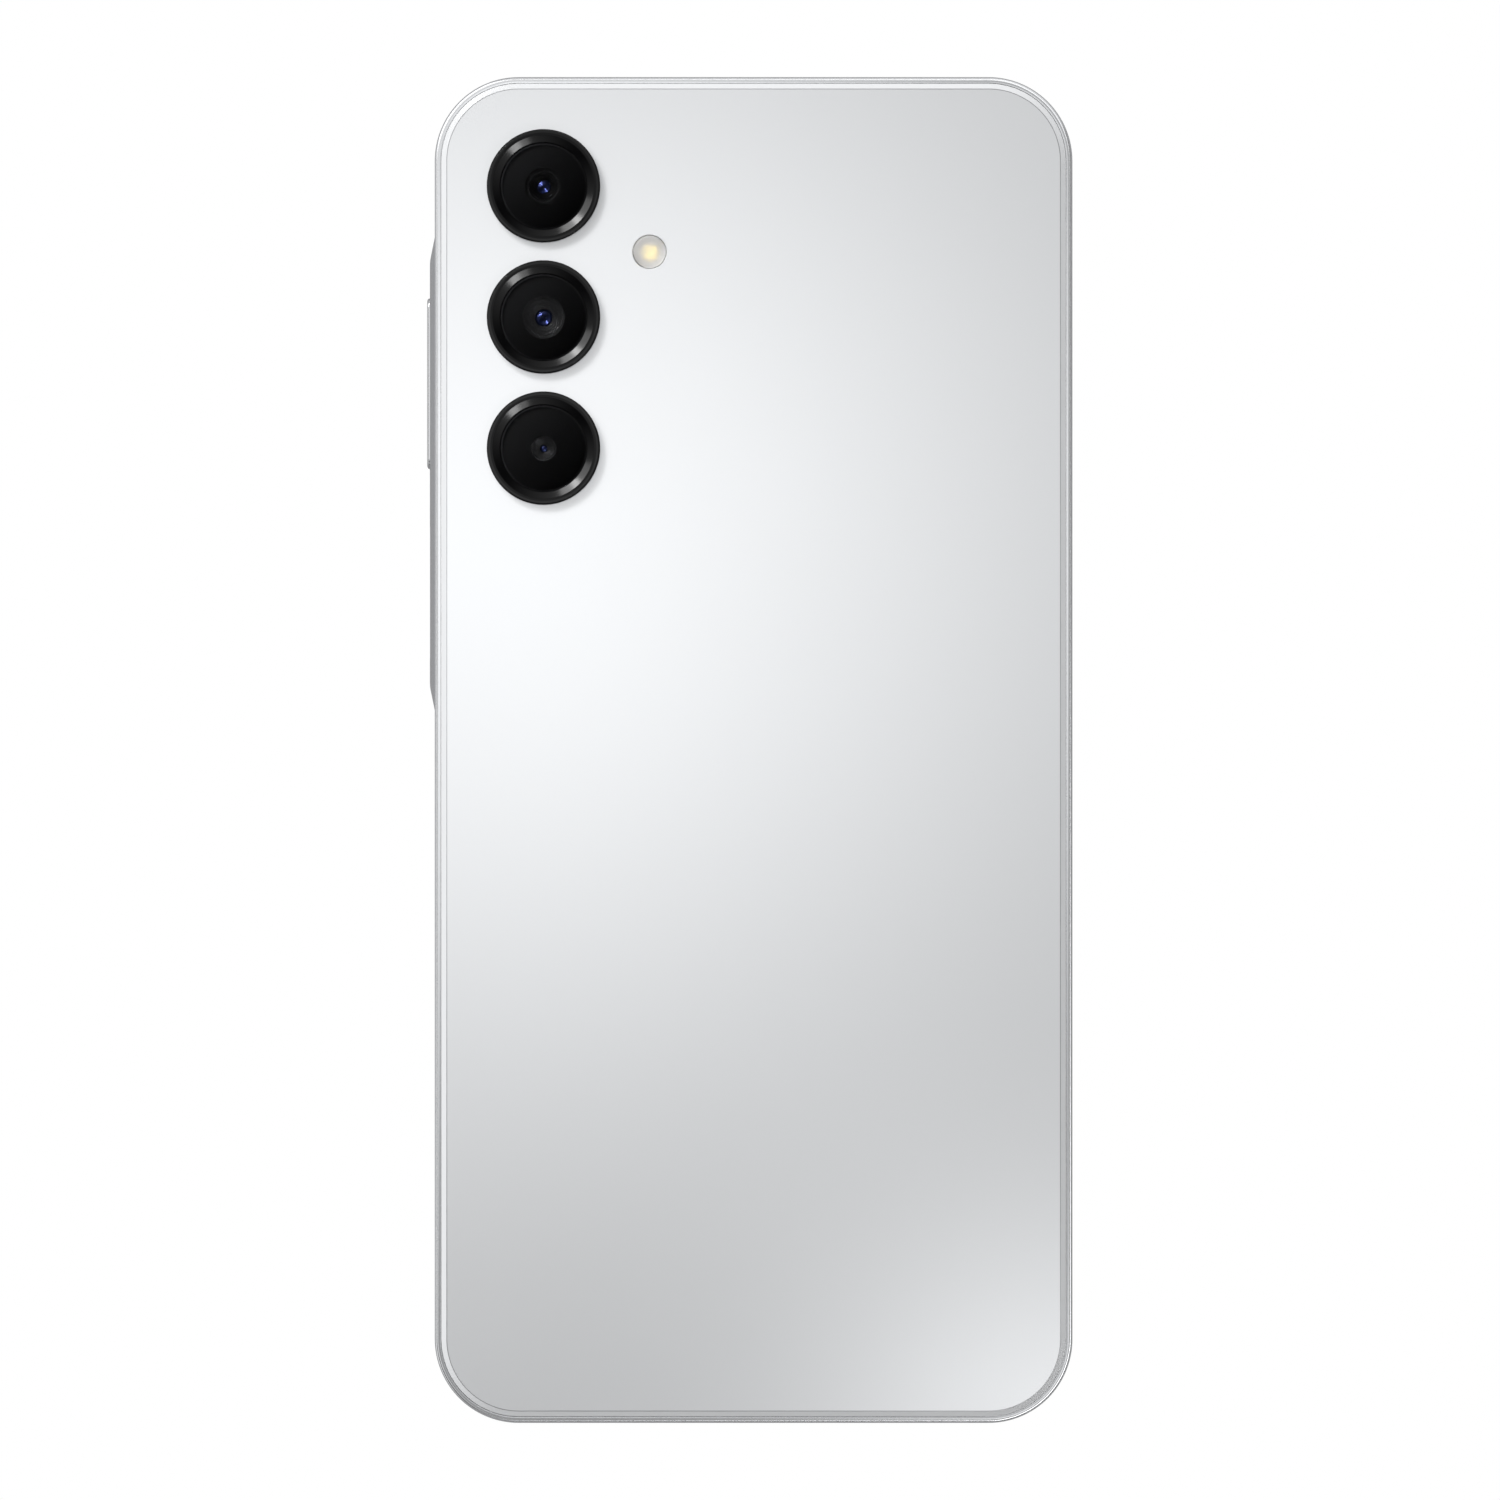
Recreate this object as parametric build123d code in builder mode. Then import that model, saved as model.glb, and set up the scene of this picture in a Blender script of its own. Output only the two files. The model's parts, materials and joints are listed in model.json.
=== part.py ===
from build123d import *
import os

# A bar smartphone: a rounded plastic side frame round a metal mid plate, a display glued to the front,
# a glossy rear panel with three separate camera rings, a raised key island on one long side, a card
# tray on the other, and a charging port and loudspeaker in the bottom edge.
#
# Millimetres. The origin is the centre of the display glass's outer face, which lies at Z = 0. +Z runs
# through the thickness and out of the rear panel, +Y to the phone's top edge, and +X to the right as
# seen from behind, so that the keys are on the -X side. Ranges are (low, high) pairs.

# ---- Driving dimensions: the body ------------------------------------------------------------------
BODY_WIDTH = 77.9
BODY_LENGTH = 164.4
CORNER_RADIUS = 10.25
HALF_WIDTH = BODY_WIDTH / 2
HALF_LENGTH = BODY_LENGTH / 2
FRAME_Z = (0.15, 7.8)
FRAME_MID_Z = 4.0
REAR_EDGE_RADIUS = 0.45
FRONT_EDGE_RADIUS = 0.6
CAVITY_INSET = 3.0
INNER_X = HALF_WIDTH - CAVITY_INSET
INNER_Y = HALF_LENGTH - CAVITY_INSET

# ---- Front and rear layers, from the display face up -----------------------------------------------
GLASS_Z = (0.0, 0.65)
GLASS_INSET = 0.95
DISPLAY_Z = (0.65, 1.6)
DISPLAY_INSET = 3.1
FRONT_RECESS_INSET = 0.85
FRONT_LEDGE_Z = 0.95
MID_PLATE_Z = (1.75, 2.15)
BOARD_Z = (2.6, 3.3)
BOARD_EDGE_INSET = 3.6
CONNECTOR_Z = (3.3, 4.2)
FLEX = 0.12
UPPER_COVER_Z = (5.3, 6.2)
LOWER_COVER_Z = (5.75, 6.5)
REAR_LEDGE_Z = 6.9
REAR_PANEL_Z = (7.1, 7.9)
REAR_RECESS_INSET = 0.76
REAR_PANEL_INSET = 0.82
REAR_PANEL_BEVEL_WIDTH = 0.66
REAR_PANEL_BEVEL_DROP = 0.13

# ---- Rear cameras and flash ------------------------------------------------------------------------
LENS_X = -25.64
LENS_PITCH = 16.0
LENS_Y = {"upper": 68.83, "middle": 68.83 - LENS_PITCH, "lower": 68.83 - 2 * LENS_PITCH}
RING_RADIUS = 6.87
RING_CREST_RADIUS = 6.3
RING_TOP_Z = 9.0
RING_NECK_RADIUS = 6.05
RING_BORE = 4.6
WINDOW_RADIUS = 5.2
RING_SEAT_Z = 8.0
MASK_Z = (RING_SEAT_Z, 8.06)
WINDOW_Z = (MASK_Z[1], 8.62)
CLEAR_RADIUS = {"upper": 2.3, "middle": 2.6, "lower": 1.64}
FLASH = (-12.7, LENS_Y["upper"] - LENS_PITCH / 2)
FLASH_RADIUS = 2.06

# ---- Key island and keys, on the -X side -----------------------------------------------------------
ISLAND_X = -(HALF_WIDTH + 0.65)
ISLAND_Y = (4.8, 62.7)
ISLAND_RAMP = 3.0
VOLUME_Y = 44.88
VOLUME_SIZE = (20.9, 2.7)
VOLUME_FACE_X = ISLAND_X - 0.37
POWER_Y = 19.24
POWER_SIZE = (14.15, 3.2)
POWER_FACE_X = ISLAND_X + 0.13
KEY_CLEARANCE = 0.15
KEY_POCKET_X = -37.95
KEY_POCKET_Y = (8.6, 62.6)
KEY_POCKET_Z = (2.0, 6.0)
POST_TIP_X = -36.73
DOME_X = (-36.7, -36.46)
DOME_OFFSET = 7.0
ROCKER_PIVOT_X = -36.8
FULCRUM_RADIUS = 0.3

# ---- Card tray and its ejector, on the +X side -----------------------------------------------------
TRAY_Y = 52.8
TRAY_Z = 4.07
TRAY_PLATE_X = (12.2, 37.45)
TRAY_PLATE_SIZE = (15.8, 1.1)
TRAY_HEAD_X = (37.45, HALF_WIDTH)
TRAY_HEAD_Y = 51.2
TRAY_HEAD_SIZE = (20.4, 2.3)
TRAY_CLEARANCE = 0.12
TRAY_SLOT_SIZE = (16.6, 1.9)
EJECT_Y = 42.6
EJECT_HOLE_RADIUS = 0.45
LEVER_PIVOT = (10.3, 49.0)
LEVER_PIN_RADIUS = 0.45
LEVER_BORE = 0.5

# ---- Bottom and top edges --------------------------------------------------------------------------
USB_SHELL_SIZE = (8.94, 3.16)
USB_WALL = 0.3
USB_SHELL_Y = (-81.8, -74.5)
USB_TONGUE_WIDTH = 6.69
USB_TONGUE_Z = (3.65, 4.35)
USB_CONTACTS = 12
USB_CONTACT_PITCH = 0.5
GRILLE_HOLES = 6
GRILLE_PITCH = 2.5
GRILLE_X = -19.0
GRILLE_RADIUS = 0.7
MIC_BOTTOM_X = 9.5
MIC_TOP_X = -9.5
MIC_HOLE_RADIUS = 0.5
EARPIECE_LENGTH = 13.0
EARPIECE_DEPTH = 0.55

# ---- Insides ---------------------------------------------------------------------------------------
FRONT_CAMERA_Y = 76.8
BATTERY_X = (-33.2, 33.4)
BATTERY_Y = (-58.6, 27.4)
BATTERY_Z = (2.25, 6.75)
MAIN_BOARD_X = (-17.2, 34.6)
MAIN_BOARD_Y = (30.2, 77.4)
SUB_BOARD_X = (-6.5, 34.4)
SUB_BOARD_Y = (-78.4, -60.6)
MOTOR = (26.5, -70.5)
MOTOR_RADIUS = 4.0
MOTOR_Z = (2.2, 4.9)
MOTOR_WALL = 0.2
SHAFT_RADIUS = 0.4
ROTOR_BORE = 0.44
SPEAKER = (-19.0, -69.5)
SPEAKER_BOX_X = (-34.4, -7.2)
SPEAKER_BOX_Z = (2.35, 6.6)
BOSS_RADIUS = 1.5
SCREW_RADIUS = 0.7
SCREW_HOLE_RADIUS = 0.72
SCREW_HEAD_RADIUS = 1.15
SCREW_DEPTH = 2.4
UPPER_SCREWS = [
    (-14.9, 74.6),
    (20.4, 74.8),
    (32.4, 34.4),
    (-15.2, 47.0),
    (-15.2, 33.2),
    (9.9, 38.0),
    (31.8, 63.4),
]
LOWER_SCREWS = [(-4.9, -62.6), (14.5, -76.2), (32.2, -62.8), (12.0, -63.0)]
SPEAKER_SCREW = (-32.2, -62.8)
COVER_FIXINGS = [(UPPER_SCREWS, UPPER_COVER_Z), (LOWER_SCREWS + [SPEAKER_SCREW], LOWER_COVER_Z)]


# ---- Shared shapes ---------------------------------------------------------------------------------
def length(pair):
    return pair[1] - pair[0]


def middle(pair):
    return (pair[0] + pair[1]) / 2


def body_outline(inset, mode=Mode.ADD):
    """The phone's rounded outline, drawn in by inset, in the current sketch."""
    RectangleRounded(BODY_WIDTH - 2 * inset, BODY_LENGTH - 2 * inset, CORNER_RADIUS - inset, mode=mode)


def cavity_area(x, y):
    """A rectangle in the current sketch, clipped by the rounded corners of the cavity."""
    body_outline(BOARD_EDGE_INSET)
    with Locations((middle(x), middle(y))):
        Rectangle(length(x), length(y), mode=Mode.INTERSECT)


def slab(x, y, z, mode=Mode.ADD):
    """A box between (low, high) pairs, in the current part."""
    with Locations((middle(x), middle(y), middle(z))):
        Box(length(x), length(y), length(z), mode=mode)


def post(centre, radius, z, mode=Mode.ADD):
    """An upright cylinder over an (x, y) centre, in the current part."""
    with Locations((centre[0], centre[1], middle(z))):
        Cylinder(radius, length(z), mode=mode)


def side_pad(x, y, z, size, radius, mode=Mode.ADD):
    """A rounded pad that faces along X, in the current part: size is its length in Y and height in Z."""
    with BuildSketch(Plane.YZ.offset(x[0])) as pad:
        with Locations((y, z)):
            RectangleRounded(size[0], size[1], radius)
    extrude(pad.sketch, amount=length(x), mode=mode)


def port_pad(x, z, size, radius, y, mode=Mode.ADD):
    """A rounded pad that faces along Y, in the current part: size is its length in X and height in Z."""
    with BuildSketch(Plane.XZ.offset(-y[1])) as pad:
        with Locations((x, z)):
            RectangleRounded(size[0], size[1], radius)
    extrude(pad.sketch, amount=length(y), mode=mode)


def lens_cap(centre, base_z, radius, sag):
    """A glass lens with a domed front, in the current part."""
    x, y = centre
    dome_radius = (radius**2 + sag**2) / (2 * sag)
    with BuildSketch(Plane(origin=(x, y, 0), x_dir=(1, 0, 0), z_dir=(0, -1, 0))) as profile:
        with BuildLine():
            Polyline((0, base_z + sag), (0, base_z - 0.4), (radius, base_z - 0.4), (radius, base_z))
            RadiusArc((radius, base_z), (0, base_z + sag), -dome_radius)
        make_face()
    revolve(profile.sketch, axis=Axis((x, y, 0), (0, 0, 1)))


def board_holes(screws):
    """Clearance holes for the mid plate's bosses, in the current part."""
    for centre in screws:
        post(centre, BOSS_RADIUS + 0.2, (BOARD_Z[0] - 1, BOARD_Z[1] + 1), mode=Mode.SUBTRACT)


def cover_holes(screws, cover_z):
    """Counterbored screw holes through a plastic cover, in the current part."""
    for x, y in screws:
        with Locations((x, y, cover_z[1])):
            CounterBoreHole(SCREW_RADIUS + 0.1, SCREW_HEAD_RADIUS + 0.15, 0.45, length(cover_z))


# ---- Side frame ------------------------------------------------------------------------------------
island_low, island_high = ISLAND_Y
with BuildPart() as key_island:
    with BuildSketch(Plane.XY.offset(0.5)):
        with BuildLine():
            FilletPolyline(
                (-HALF_WIDTH + 1, island_high + 0.6),
                (-HALF_WIDTH, island_high),
                (ISLAND_X, island_high - ISLAND_RAMP),
                (ISLAND_X, island_low + ISLAND_RAMP),
                (-HALF_WIDTH, island_low),
                (-HALF_WIDTH + 1, island_low - 0.6),
                radius=[0.3, 5.0, 5.0, 0.3],
            )
            Line((-HALF_WIDTH + 1, island_low - 0.6), (-HALF_WIDTH + 1, island_high + 0.6))
        make_face()
    extrude(amount=7.0)
    with BuildSketch(Plane.XZ.offset(-island_high - 1)):
        with BuildLine():
            FilletPolyline(
                (-HALF_WIDTH + 1, 0.5),
                (-HALF_WIDTH, 0.9),
                (ISLAND_X, 1.8),
                (ISLAND_X, 6.2),
                (-HALF_WIDTH, 7.1),
                (-HALF_WIDTH + 1, 7.5),
                radius=[0.3, 0.9, 0.9, 0.3],
            )
            Line((-HALF_WIDTH + 1, 7.5), (-HALF_WIDTH + 1, 0.5))
        make_face()
    extrude(amount=length(ISLAND_Y) + 2, mode=Mode.INTERSECT)

with BuildPart() as side_frame:
    with BuildSketch(Plane.XY.offset(FRAME_Z[0])):
        body_outline(0)
    extrude(amount=length(FRAME_Z))
    fillet(side_frame.faces().sort_by(Axis.Z)[-1].edges(), REAR_EDGE_RADIUS)
    fillet(side_frame.faces().sort_by(Axis.Z)[0].edges(), FRONT_EDGE_RADIUS)
    add(key_island.part)
    with BuildSketch(Plane.XY):
        body_outline(CAVITY_INSET)
    extrude(amount=FRAME_Z[1] + 1, mode=Mode.SUBTRACT)
    with BuildSketch(Plane.XY):
        body_outline(FRONT_RECESS_INSET)
    extrude(amount=FRONT_LEDGE_Z, mode=Mode.SUBTRACT)
    with BuildSketch(Plane.XY.offset(REAR_LEDGE_Z)):
        body_outline(REAR_RECESS_INSET)
    extrude(amount=length(FRAME_Z), mode=Mode.SUBTRACT)
    # the keys' pocket and slots, and the shallow scoop that the power key lies in
    slab((KEY_POCKET_X, -INNER_X + 0.1), KEY_POCKET_Y, KEY_POCKET_Z, mode=Mode.SUBTRACT)
    for y, size in ((VOLUME_Y, VOLUME_SIZE), (POWER_Y, POWER_SIZE)):
        slot = (size[0] + 2 * KEY_CLEARANCE, size[1] + 2 * KEY_CLEARANCE)
        side_pad((ISLAND_X - 1, KEY_POCKET_X + 0.1), y, FRAME_MID_Z, slot, 1.3, mode=Mode.SUBTRACT)
    with BuildSketch(Plane.XY.offset(FRAME_MID_Z - 2.1)):
        with BuildLine():
            half = POWER_SIZE[0] / 2
            Polyline(
                (ISLAND_X - 0.3, POWER_Y - half - 1.6),
                (ISLAND_X, POWER_Y - half - 0.95),
                (ISLAND_X + 0.22, POWER_Y - half),
                (ISLAND_X + 0.22, POWER_Y + half),
                (ISLAND_X, POWER_Y + half + 0.95),
                (ISLAND_X - 0.3, POWER_Y + half + 1.6),
                close=True,
            )
        make_face()
    extrude(amount=4.2, mode=Mode.SUBTRACT)
    # the card tray's opening, narrower behind its head, and the ejector's pin hole
    head_slot = tuple(s + 2 * TRAY_CLEARANCE for s in TRAY_HEAD_SIZE)
    head_slot_x = (TRAY_HEAD_X[0] - 0.1, HALF_WIDTH + 1)
    side_pad(head_slot_x, TRAY_HEAD_Y, TRAY_Z, head_slot, 1.2, mode=Mode.SUBTRACT)
    side_pad((INNER_X - 0.1, TRAY_HEAD_X[0]), TRAY_Y, TRAY_Z, TRAY_SLOT_SIZE, 0.8, mode=Mode.SUBTRACT)
    with BuildSketch(Plane.YZ.offset(INNER_X - 0.1)):
        with Locations((EJECT_Y, TRAY_Z)):
            Circle(EJECT_HOLE_RADIUS + 0.05)
    extrude(amount=2, mode=Mode.SUBTRACT)
    # the bottom edge: charging port, loudspeaker holes and microphone hole
    opening = (USB_SHELL_SIZE[0] + 0.2, USB_SHELL_SIZE[1] + 0.2)
    opening_y = (-HALF_LENGTH - 1, -INNER_Y + 0.1)
    port_pad(0, FRAME_MID_Z, opening, opening[1] / 2 - 0.01, opening_y, mode=Mode.SUBTRACT)
    with BuildSketch(Plane.XZ.offset(INNER_Y - 0.1)):
        with Locations((GRILLE_X, FRAME_MID_Z)):
            with GridLocations(GRILLE_PITCH, 1, GRILLE_HOLES, 1):
                Circle(GRILLE_RADIUS)
        with Locations((MIC_BOTTOM_X, FRAME_MID_Z)):
            Circle(MIC_HOLE_RADIUS)
    extrude(amount=4, mode=Mode.SUBTRACT)
    # the top edge: the second microphone's hole, and the earpiece's channel under the glass
    with BuildSketch(Plane.XZ.offset(-HALF_LENGTH - 1)):
        with Locations((MIC_TOP_X, FRAME_MID_Z)):
            Circle(MIC_HOLE_RADIUS)
    extrude(amount=4.2, mode=Mode.SUBTRACT)
    slab((-6.0, 16.0), (INNER_Y - 0.2, INNER_Y + 1.5), (FRONT_LEDGE_Z - 0.1, 3.0), mode=Mode.SUBTRACT)
side_frame.part.label = "side_frame"

# ---- Display and glass -----------------------------------------------------------------------------
glass_top_y = HALF_LENGTH - GLASS_INSET
with BuildPart() as cover_glass:
    with BuildSketch(Plane.XY):
        body_outline(GLASS_INSET)
        with Locations((0, glass_top_y)):
            SlotOverall(EARPIECE_LENGTH, 2 * EARPIECE_DEPTH, mode=Mode.SUBTRACT)
    extrude(amount=length(GLASS_Z))
    front_edges = cover_glass.faces().sort_by(Axis.Z)[0].outer_wire().edges()
    chamfer(front_edges, 0.14, 0.22)
cover_glass.part.label = "cover_glass"

with BuildPart() as display_panel:
    with BuildSketch(Plane.XY.offset(DISPLAY_Z[0])):
        body_outline(DISPLAY_INSET)
        with Locations((0, FRONT_CAMERA_Y)):
            Circle(2.7, mode=Mode.SUBTRACT)
        with Locations((0, FRONT_CAMERA_Y + 4)):
            Rectangle(5.4, 8, mode=Mode.SUBTRACT)
    extrude(amount=length(DISPLAY_Z))
display_panel.part.label = "display_panel"

with BuildPart() as display_tape:
    with BuildSketch(Plane.XY.offset(GLASS_Z[1])):
        body_outline(GLASS_INSET + 0.15)
        body_outline(2.3, mode=Mode.SUBTRACT)
        with Locations((0, glass_top_y)):
            Rectangle(EARPIECE_LENGTH + 1, 4, mode=Mode.SUBTRACT)
    extrude(amount=FRONT_LEDGE_Z - GLASS_Z[1])
display_tape.part.label = "display_tape"

with BuildPart() as earpiece_mesh:
    with BuildSketch(Plane.XY.offset(0.3)):
        with Locations((0, glass_top_y)):
            SlotOverall(EARPIECE_LENGTH - 0.1, 2 * EARPIECE_DEPTH - 0.1)
            with Locations((0, 1)):
                Rectangle(EARPIECE_LENGTH, 2, mode=Mode.SUBTRACT)
    extrude(amount=0.25)
earpiece_mesh.part.label = "earpiece_mesh"

with BuildPart() as display_flex:
    flex_x, riser_y = (15.0, 25.0), (-59.75, -59.75 + FLEX)
    slab(flex_x, (-64.5, riser_y[1]), (1.61, 1.61 + FLEX))
    slab(flex_x, riser_y, (1.61, CONNECTOR_Z[1] + FLEX))
    slab(flex_x, (-66.0, riser_y[1]), (CONNECTOR_Z[1], CONNECTOR_Z[1] + FLEX))
display_flex.part.label = "display_flex"

# ---- Mid plate with its screw bosses ---------------------------------------------------------------
with BuildPart() as mid_plate:
    with BuildSketch(Plane.XY.offset(MID_PLATE_Z[0])):
        body_outline(CAVITY_INSET)
        with Locations((0, FRONT_CAMERA_Y)):
            Circle(2.2, mode=Mode.SUBTRACT)
        with Locations((20.0, -59.6)):
            Rectangle(11.0, 1.2, mode=Mode.SUBTRACT)
        with Locations((10.0, INNER_Y - 1.3)):
            Rectangle(10.0, 1.6, mode=Mode.SUBTRACT)
    extrude(amount=length(MID_PLATE_Z))
    for screws, cover_z in COVER_FIXINGS:
        for centre in screws:
            post(centre, BOSS_RADIUS, (MID_PLATE_Z[1] - 0.2, cover_z[0]))
            post(centre, SCREW_HOLE_RADIUS, (cover_z[0] - SCREW_DEPTH, cover_z[0] + 1), mode=Mode.SUBTRACT)
mid_plate.part.label = "mid_plate"

# ---- Rear panel ------------------------------------------------------------------------------------
with BuildPart() as rear_panel:
    with BuildSketch(Plane.XY.offset(REAR_PANEL_Z[0])):
        body_outline(REAR_PANEL_INSET)
        for y in LENS_Y.values():
            with Locations((LENS_X, y)):
                Circle(RING_NECK_RADIUS + 0.07, mode=Mode.SUBTRACT)
        with Locations(FLASH):
            Circle(FLASH_RADIUS + 0.06, mode=Mode.SUBTRACT)
    extrude(amount=length(REAR_PANEL_Z))
    panel_face = rear_panel.faces().sort_by(Axis.Z)[-1]
    rim = panel_face.outer_wire().edges()
    chamfer(rim, REAR_PANEL_BEVEL_WIDTH, REAR_PANEL_BEVEL_DROP, reference=panel_face)
rear_panel.part.label = "rear_panel"

with BuildPart() as rear_panel_tape:
    with BuildSketch(Plane.XY.offset(REAR_LEDGE_Z)):
        body_outline(REAR_PANEL_INSET + 0.1)
        body_outline(CAVITY_INSET - 0.1, mode=Mode.SUBTRACT)
    extrude(amount=REAR_PANEL_Z[0] - REAR_LEDGE_Z)
rear_panel_tape.part.label = "rear_panel_tape"

with BuildPart() as nfc_coil:
    with BuildSketch(Plane.XY.offset(REAR_PANEL_Z[0] - 0.1)):
        with Locations((4.0, 2.0)):
            for turn in range(4):
                size = 40 - 3.2 * turn
                RectangleRounded(size, size - 4, 3.0)
                RectangleRounded(size - 1.6, size - 5.6, 2.2, mode=Mode.SUBTRACT)
    extrude(amount=0.1)
nfc_coil.part.label = "nfc_coil"


# ---- Camera rings and windows ----------------------------------------------------------------------
def make_ring(y):
    """One metal lens ring: a neck through the rear panel, a rounded rim and a bevel down to the glass."""
    with BuildPart() as ring:
        with BuildSketch(Plane(origin=(LENS_X, y, 0), x_dir=(1, 0, 0), z_dir=(0, -1, 0))):
            with BuildLine():
                Polyline(
                    (WINDOW_RADIUS + 0.03, RING_SEAT_Z),
                    (RING_BORE, RING_SEAT_Z),
                    (RING_BORE, REAR_LEDGE_Z),
                    (RING_NECK_RADIUS, REAR_LEDGE_Z),
                    (RING_NECK_RADIUS, REAR_PANEL_Z[1]),
                    (RING_RADIUS, REAR_PANEL_Z[1]),
                    (RING_RADIUS, RING_TOP_Z - 0.5),
                )
                ThreePointArc(
                    (RING_RADIUS, RING_TOP_Z - 0.5),
                    (RING_RADIUS - 0.14, RING_TOP_Z - 0.15),
                    (RING_CREST_RADIUS + 0.12, RING_TOP_Z),
                )
                Polyline(
                    (RING_CREST_RADIUS + 0.12, RING_TOP_Z),
                    (RING_CREST_RADIUS, RING_TOP_Z),
                    (WINDOW_RADIUS + 0.03, WINDOW_Z[1] + 0.08),
                    (WINDOW_RADIUS + 0.03, RING_SEAT_Z),
                )
            make_face()
        revolve(axis=Axis((LENS_X, y, 0), (0, 0, 1)))
    return ring.part


def make_window(y):
    """One round cover glass over a camera, with a fine chamfer round its face."""
    with BuildPart() as window:
        post((LENS_X, y), WINDOW_RADIUS, WINDOW_Z)
        chamfer(window.faces().sort_by(Axis.Z)[-1].edges(), 0.06)
    return window.part


rings, windows = [], []
for place, y in LENS_Y.items():
    rings.append(make_ring(y))
    rings[-1].label = f"lens_ring_{place}"
    windows.append(make_window(y))
    windows[-1].label = f"lens_window_{place}"

with BuildPart() as lens_masks:
    for place, y in LENS_Y.items():
        post((LENS_X, y), WINDOW_RADIUS, MASK_Z)
        post((LENS_X, y), CLEAR_RADIUS[place], (MASK_Z[0] - 1, MASK_Z[1] + 1), mode=Mode.SUBTRACT)
lens_masks.part.label = "lens_masks"

# ---- Camera modules --------------------------------------------------------------------------------
WIDE = (LENS_X, LENS_Y["upper"])
MAIN = (LENS_X, LENS_Y["middle"])
MACRO = (LENS_X, LENS_Y["lower"])


def square(centre, size):
    """The X and Y ranges of a square about a centre."""
    return (centre[0] - size / 2, centre[0] + size / 2), (centre[1] - size / 2, centre[1] + size / 2)


def make_fixed_camera(centre, size, body_z, barrel_radius, barrel_top, lens_radius):
    """A fixed-focus camera: a square sensor housing and a barrel with a cone down to its front lens."""
    with BuildPart() as camera:
        slab(*square(centre, size), body_z)
        post(centre, barrel_radius, (body_z[1] - 0.2, barrel_top))
        with Locations((centre[0], centre[1], barrel_top - 0.25)):
            Cone(lens_radius + 0.1, barrel_radius - 0.35, 0.5, mode=Mode.SUBTRACT)
        post(centre, lens_radius + 0.02, (barrel_top - 1.2, barrel_top), mode=Mode.SUBTRACT)
    return camera.part


wide_camera_module = make_fixed_camera(WIDE, 8.6, (2.3, 5.9), 3.0, 7.5, 1.0)
wide_camera_module.label = "wide_camera_module"
macro_camera_module = make_fixed_camera(MACRO, 6.6, (2.3, 5.4), 2.3, 7.5, 0.5)
macro_camera_module.label = "macro_camera_module"

FOCUS_BARREL_Z = (3.4, 7.35)
FOCUS_BARREL_RADIUS = 3.3
with BuildPart() as main_camera_module:
    slab(*square(MAIN, 9.6), (2.3, 6.45))
    post(MAIN, FOCUS_BARREL_RADIUS + 0.15, (3.3, 7.0), mode=Mode.SUBTRACT)
    fillet(main_camera_module.edges().filter_by(Axis.Z).group_by(SortBy.LENGTH)[-1], 0.6)
main_camera_module.part.label = "main_camera_module"

with BuildPart() as focus_barrel:
    post(MAIN, FOCUS_BARREL_RADIUS, FOCUS_BARREL_Z)
    with Locations((MAIN[0], MAIN[1], FOCUS_BARREL_Z[1] - 0.3)):
        Cone(1.35, 2.9, 0.6, mode=Mode.SUBTRACT)
    post(MAIN, 1.27, (FOCUS_BARREL_Z[1] - 1.4, FOCUS_BARREL_Z[1]), mode=Mode.SUBTRACT)
focus_barrel.part.label = "focus_barrel"

with BuildPart() as main_lens:
    lens_cap(MAIN, FOCUS_BARREL_Z[1] - 0.8, 1.25, 0.35)
main_lens.part.label = "main_lens"

with BuildPart() as front_camera_module:
    slab((-2.7, 2.7), (74.2, 79.0), (MID_PLATE_Z[1] + 0.05, 4.6))
    post((0, FRONT_CAMERA_Y), 1.9, (0.95, 2.4))
    post((0, FRONT_CAMERA_Y), 1.12, (0.5, 1.75), mode=Mode.SUBTRACT)
front_camera_module.part.label = "front_camera_module"

with BuildPart() as fixed_lenses:
    lens_cap(WIDE, 6.8, 1.0, 0.3)
    lens_cap(MACRO, 6.8, 0.5, 0.15)
    post((0, FRONT_CAMERA_Y), 1.1, (1.0, 1.5))
fixed_lenses.part.label = "fixed_lenses"

with BuildPart() as flash_lens:
    post(FLASH, FLASH_RADIUS, (7.0, REAR_PANEL_Z[1]))
    post(FLASH, 2.6, (6.75, 7.08))
    with Locations((FLASH[0], FLASH[1], 7.0)):
        Cone(1.5, 0.9, 0.5, mode=Mode.SUBTRACT)
flash_lens.part.label = "flash_lens"

with BuildPart() as flash_led:
    post(FLASH, 2.5, (5.55, 5.8))
    slab(*square(FLASH, 1.7), (5.7, 6.4))
flash_led.part.label = "flash_led"

# ---- Main board and what stands on it --------------------------------------------------------------
with BuildPart() as main_board:
    with BuildSketch(Plane.XY.offset(BOARD_Z[0])):
        cavity_area(MAIN_BOARD_X, MAIN_BOARD_Y)
        with Locations((0, 75.8)):
            Rectangle(6.4, 5.0, mode=Mode.SUBTRACT)
        with Locations((12.2, 75.5)):
            Rectangle(13.6, 8.0, mode=Mode.SUBTRACT)
    extrude(amount=length(BOARD_Z))
    board_holes(UPPER_SCREWS)
main_board.part.label = "main_board"

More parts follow.
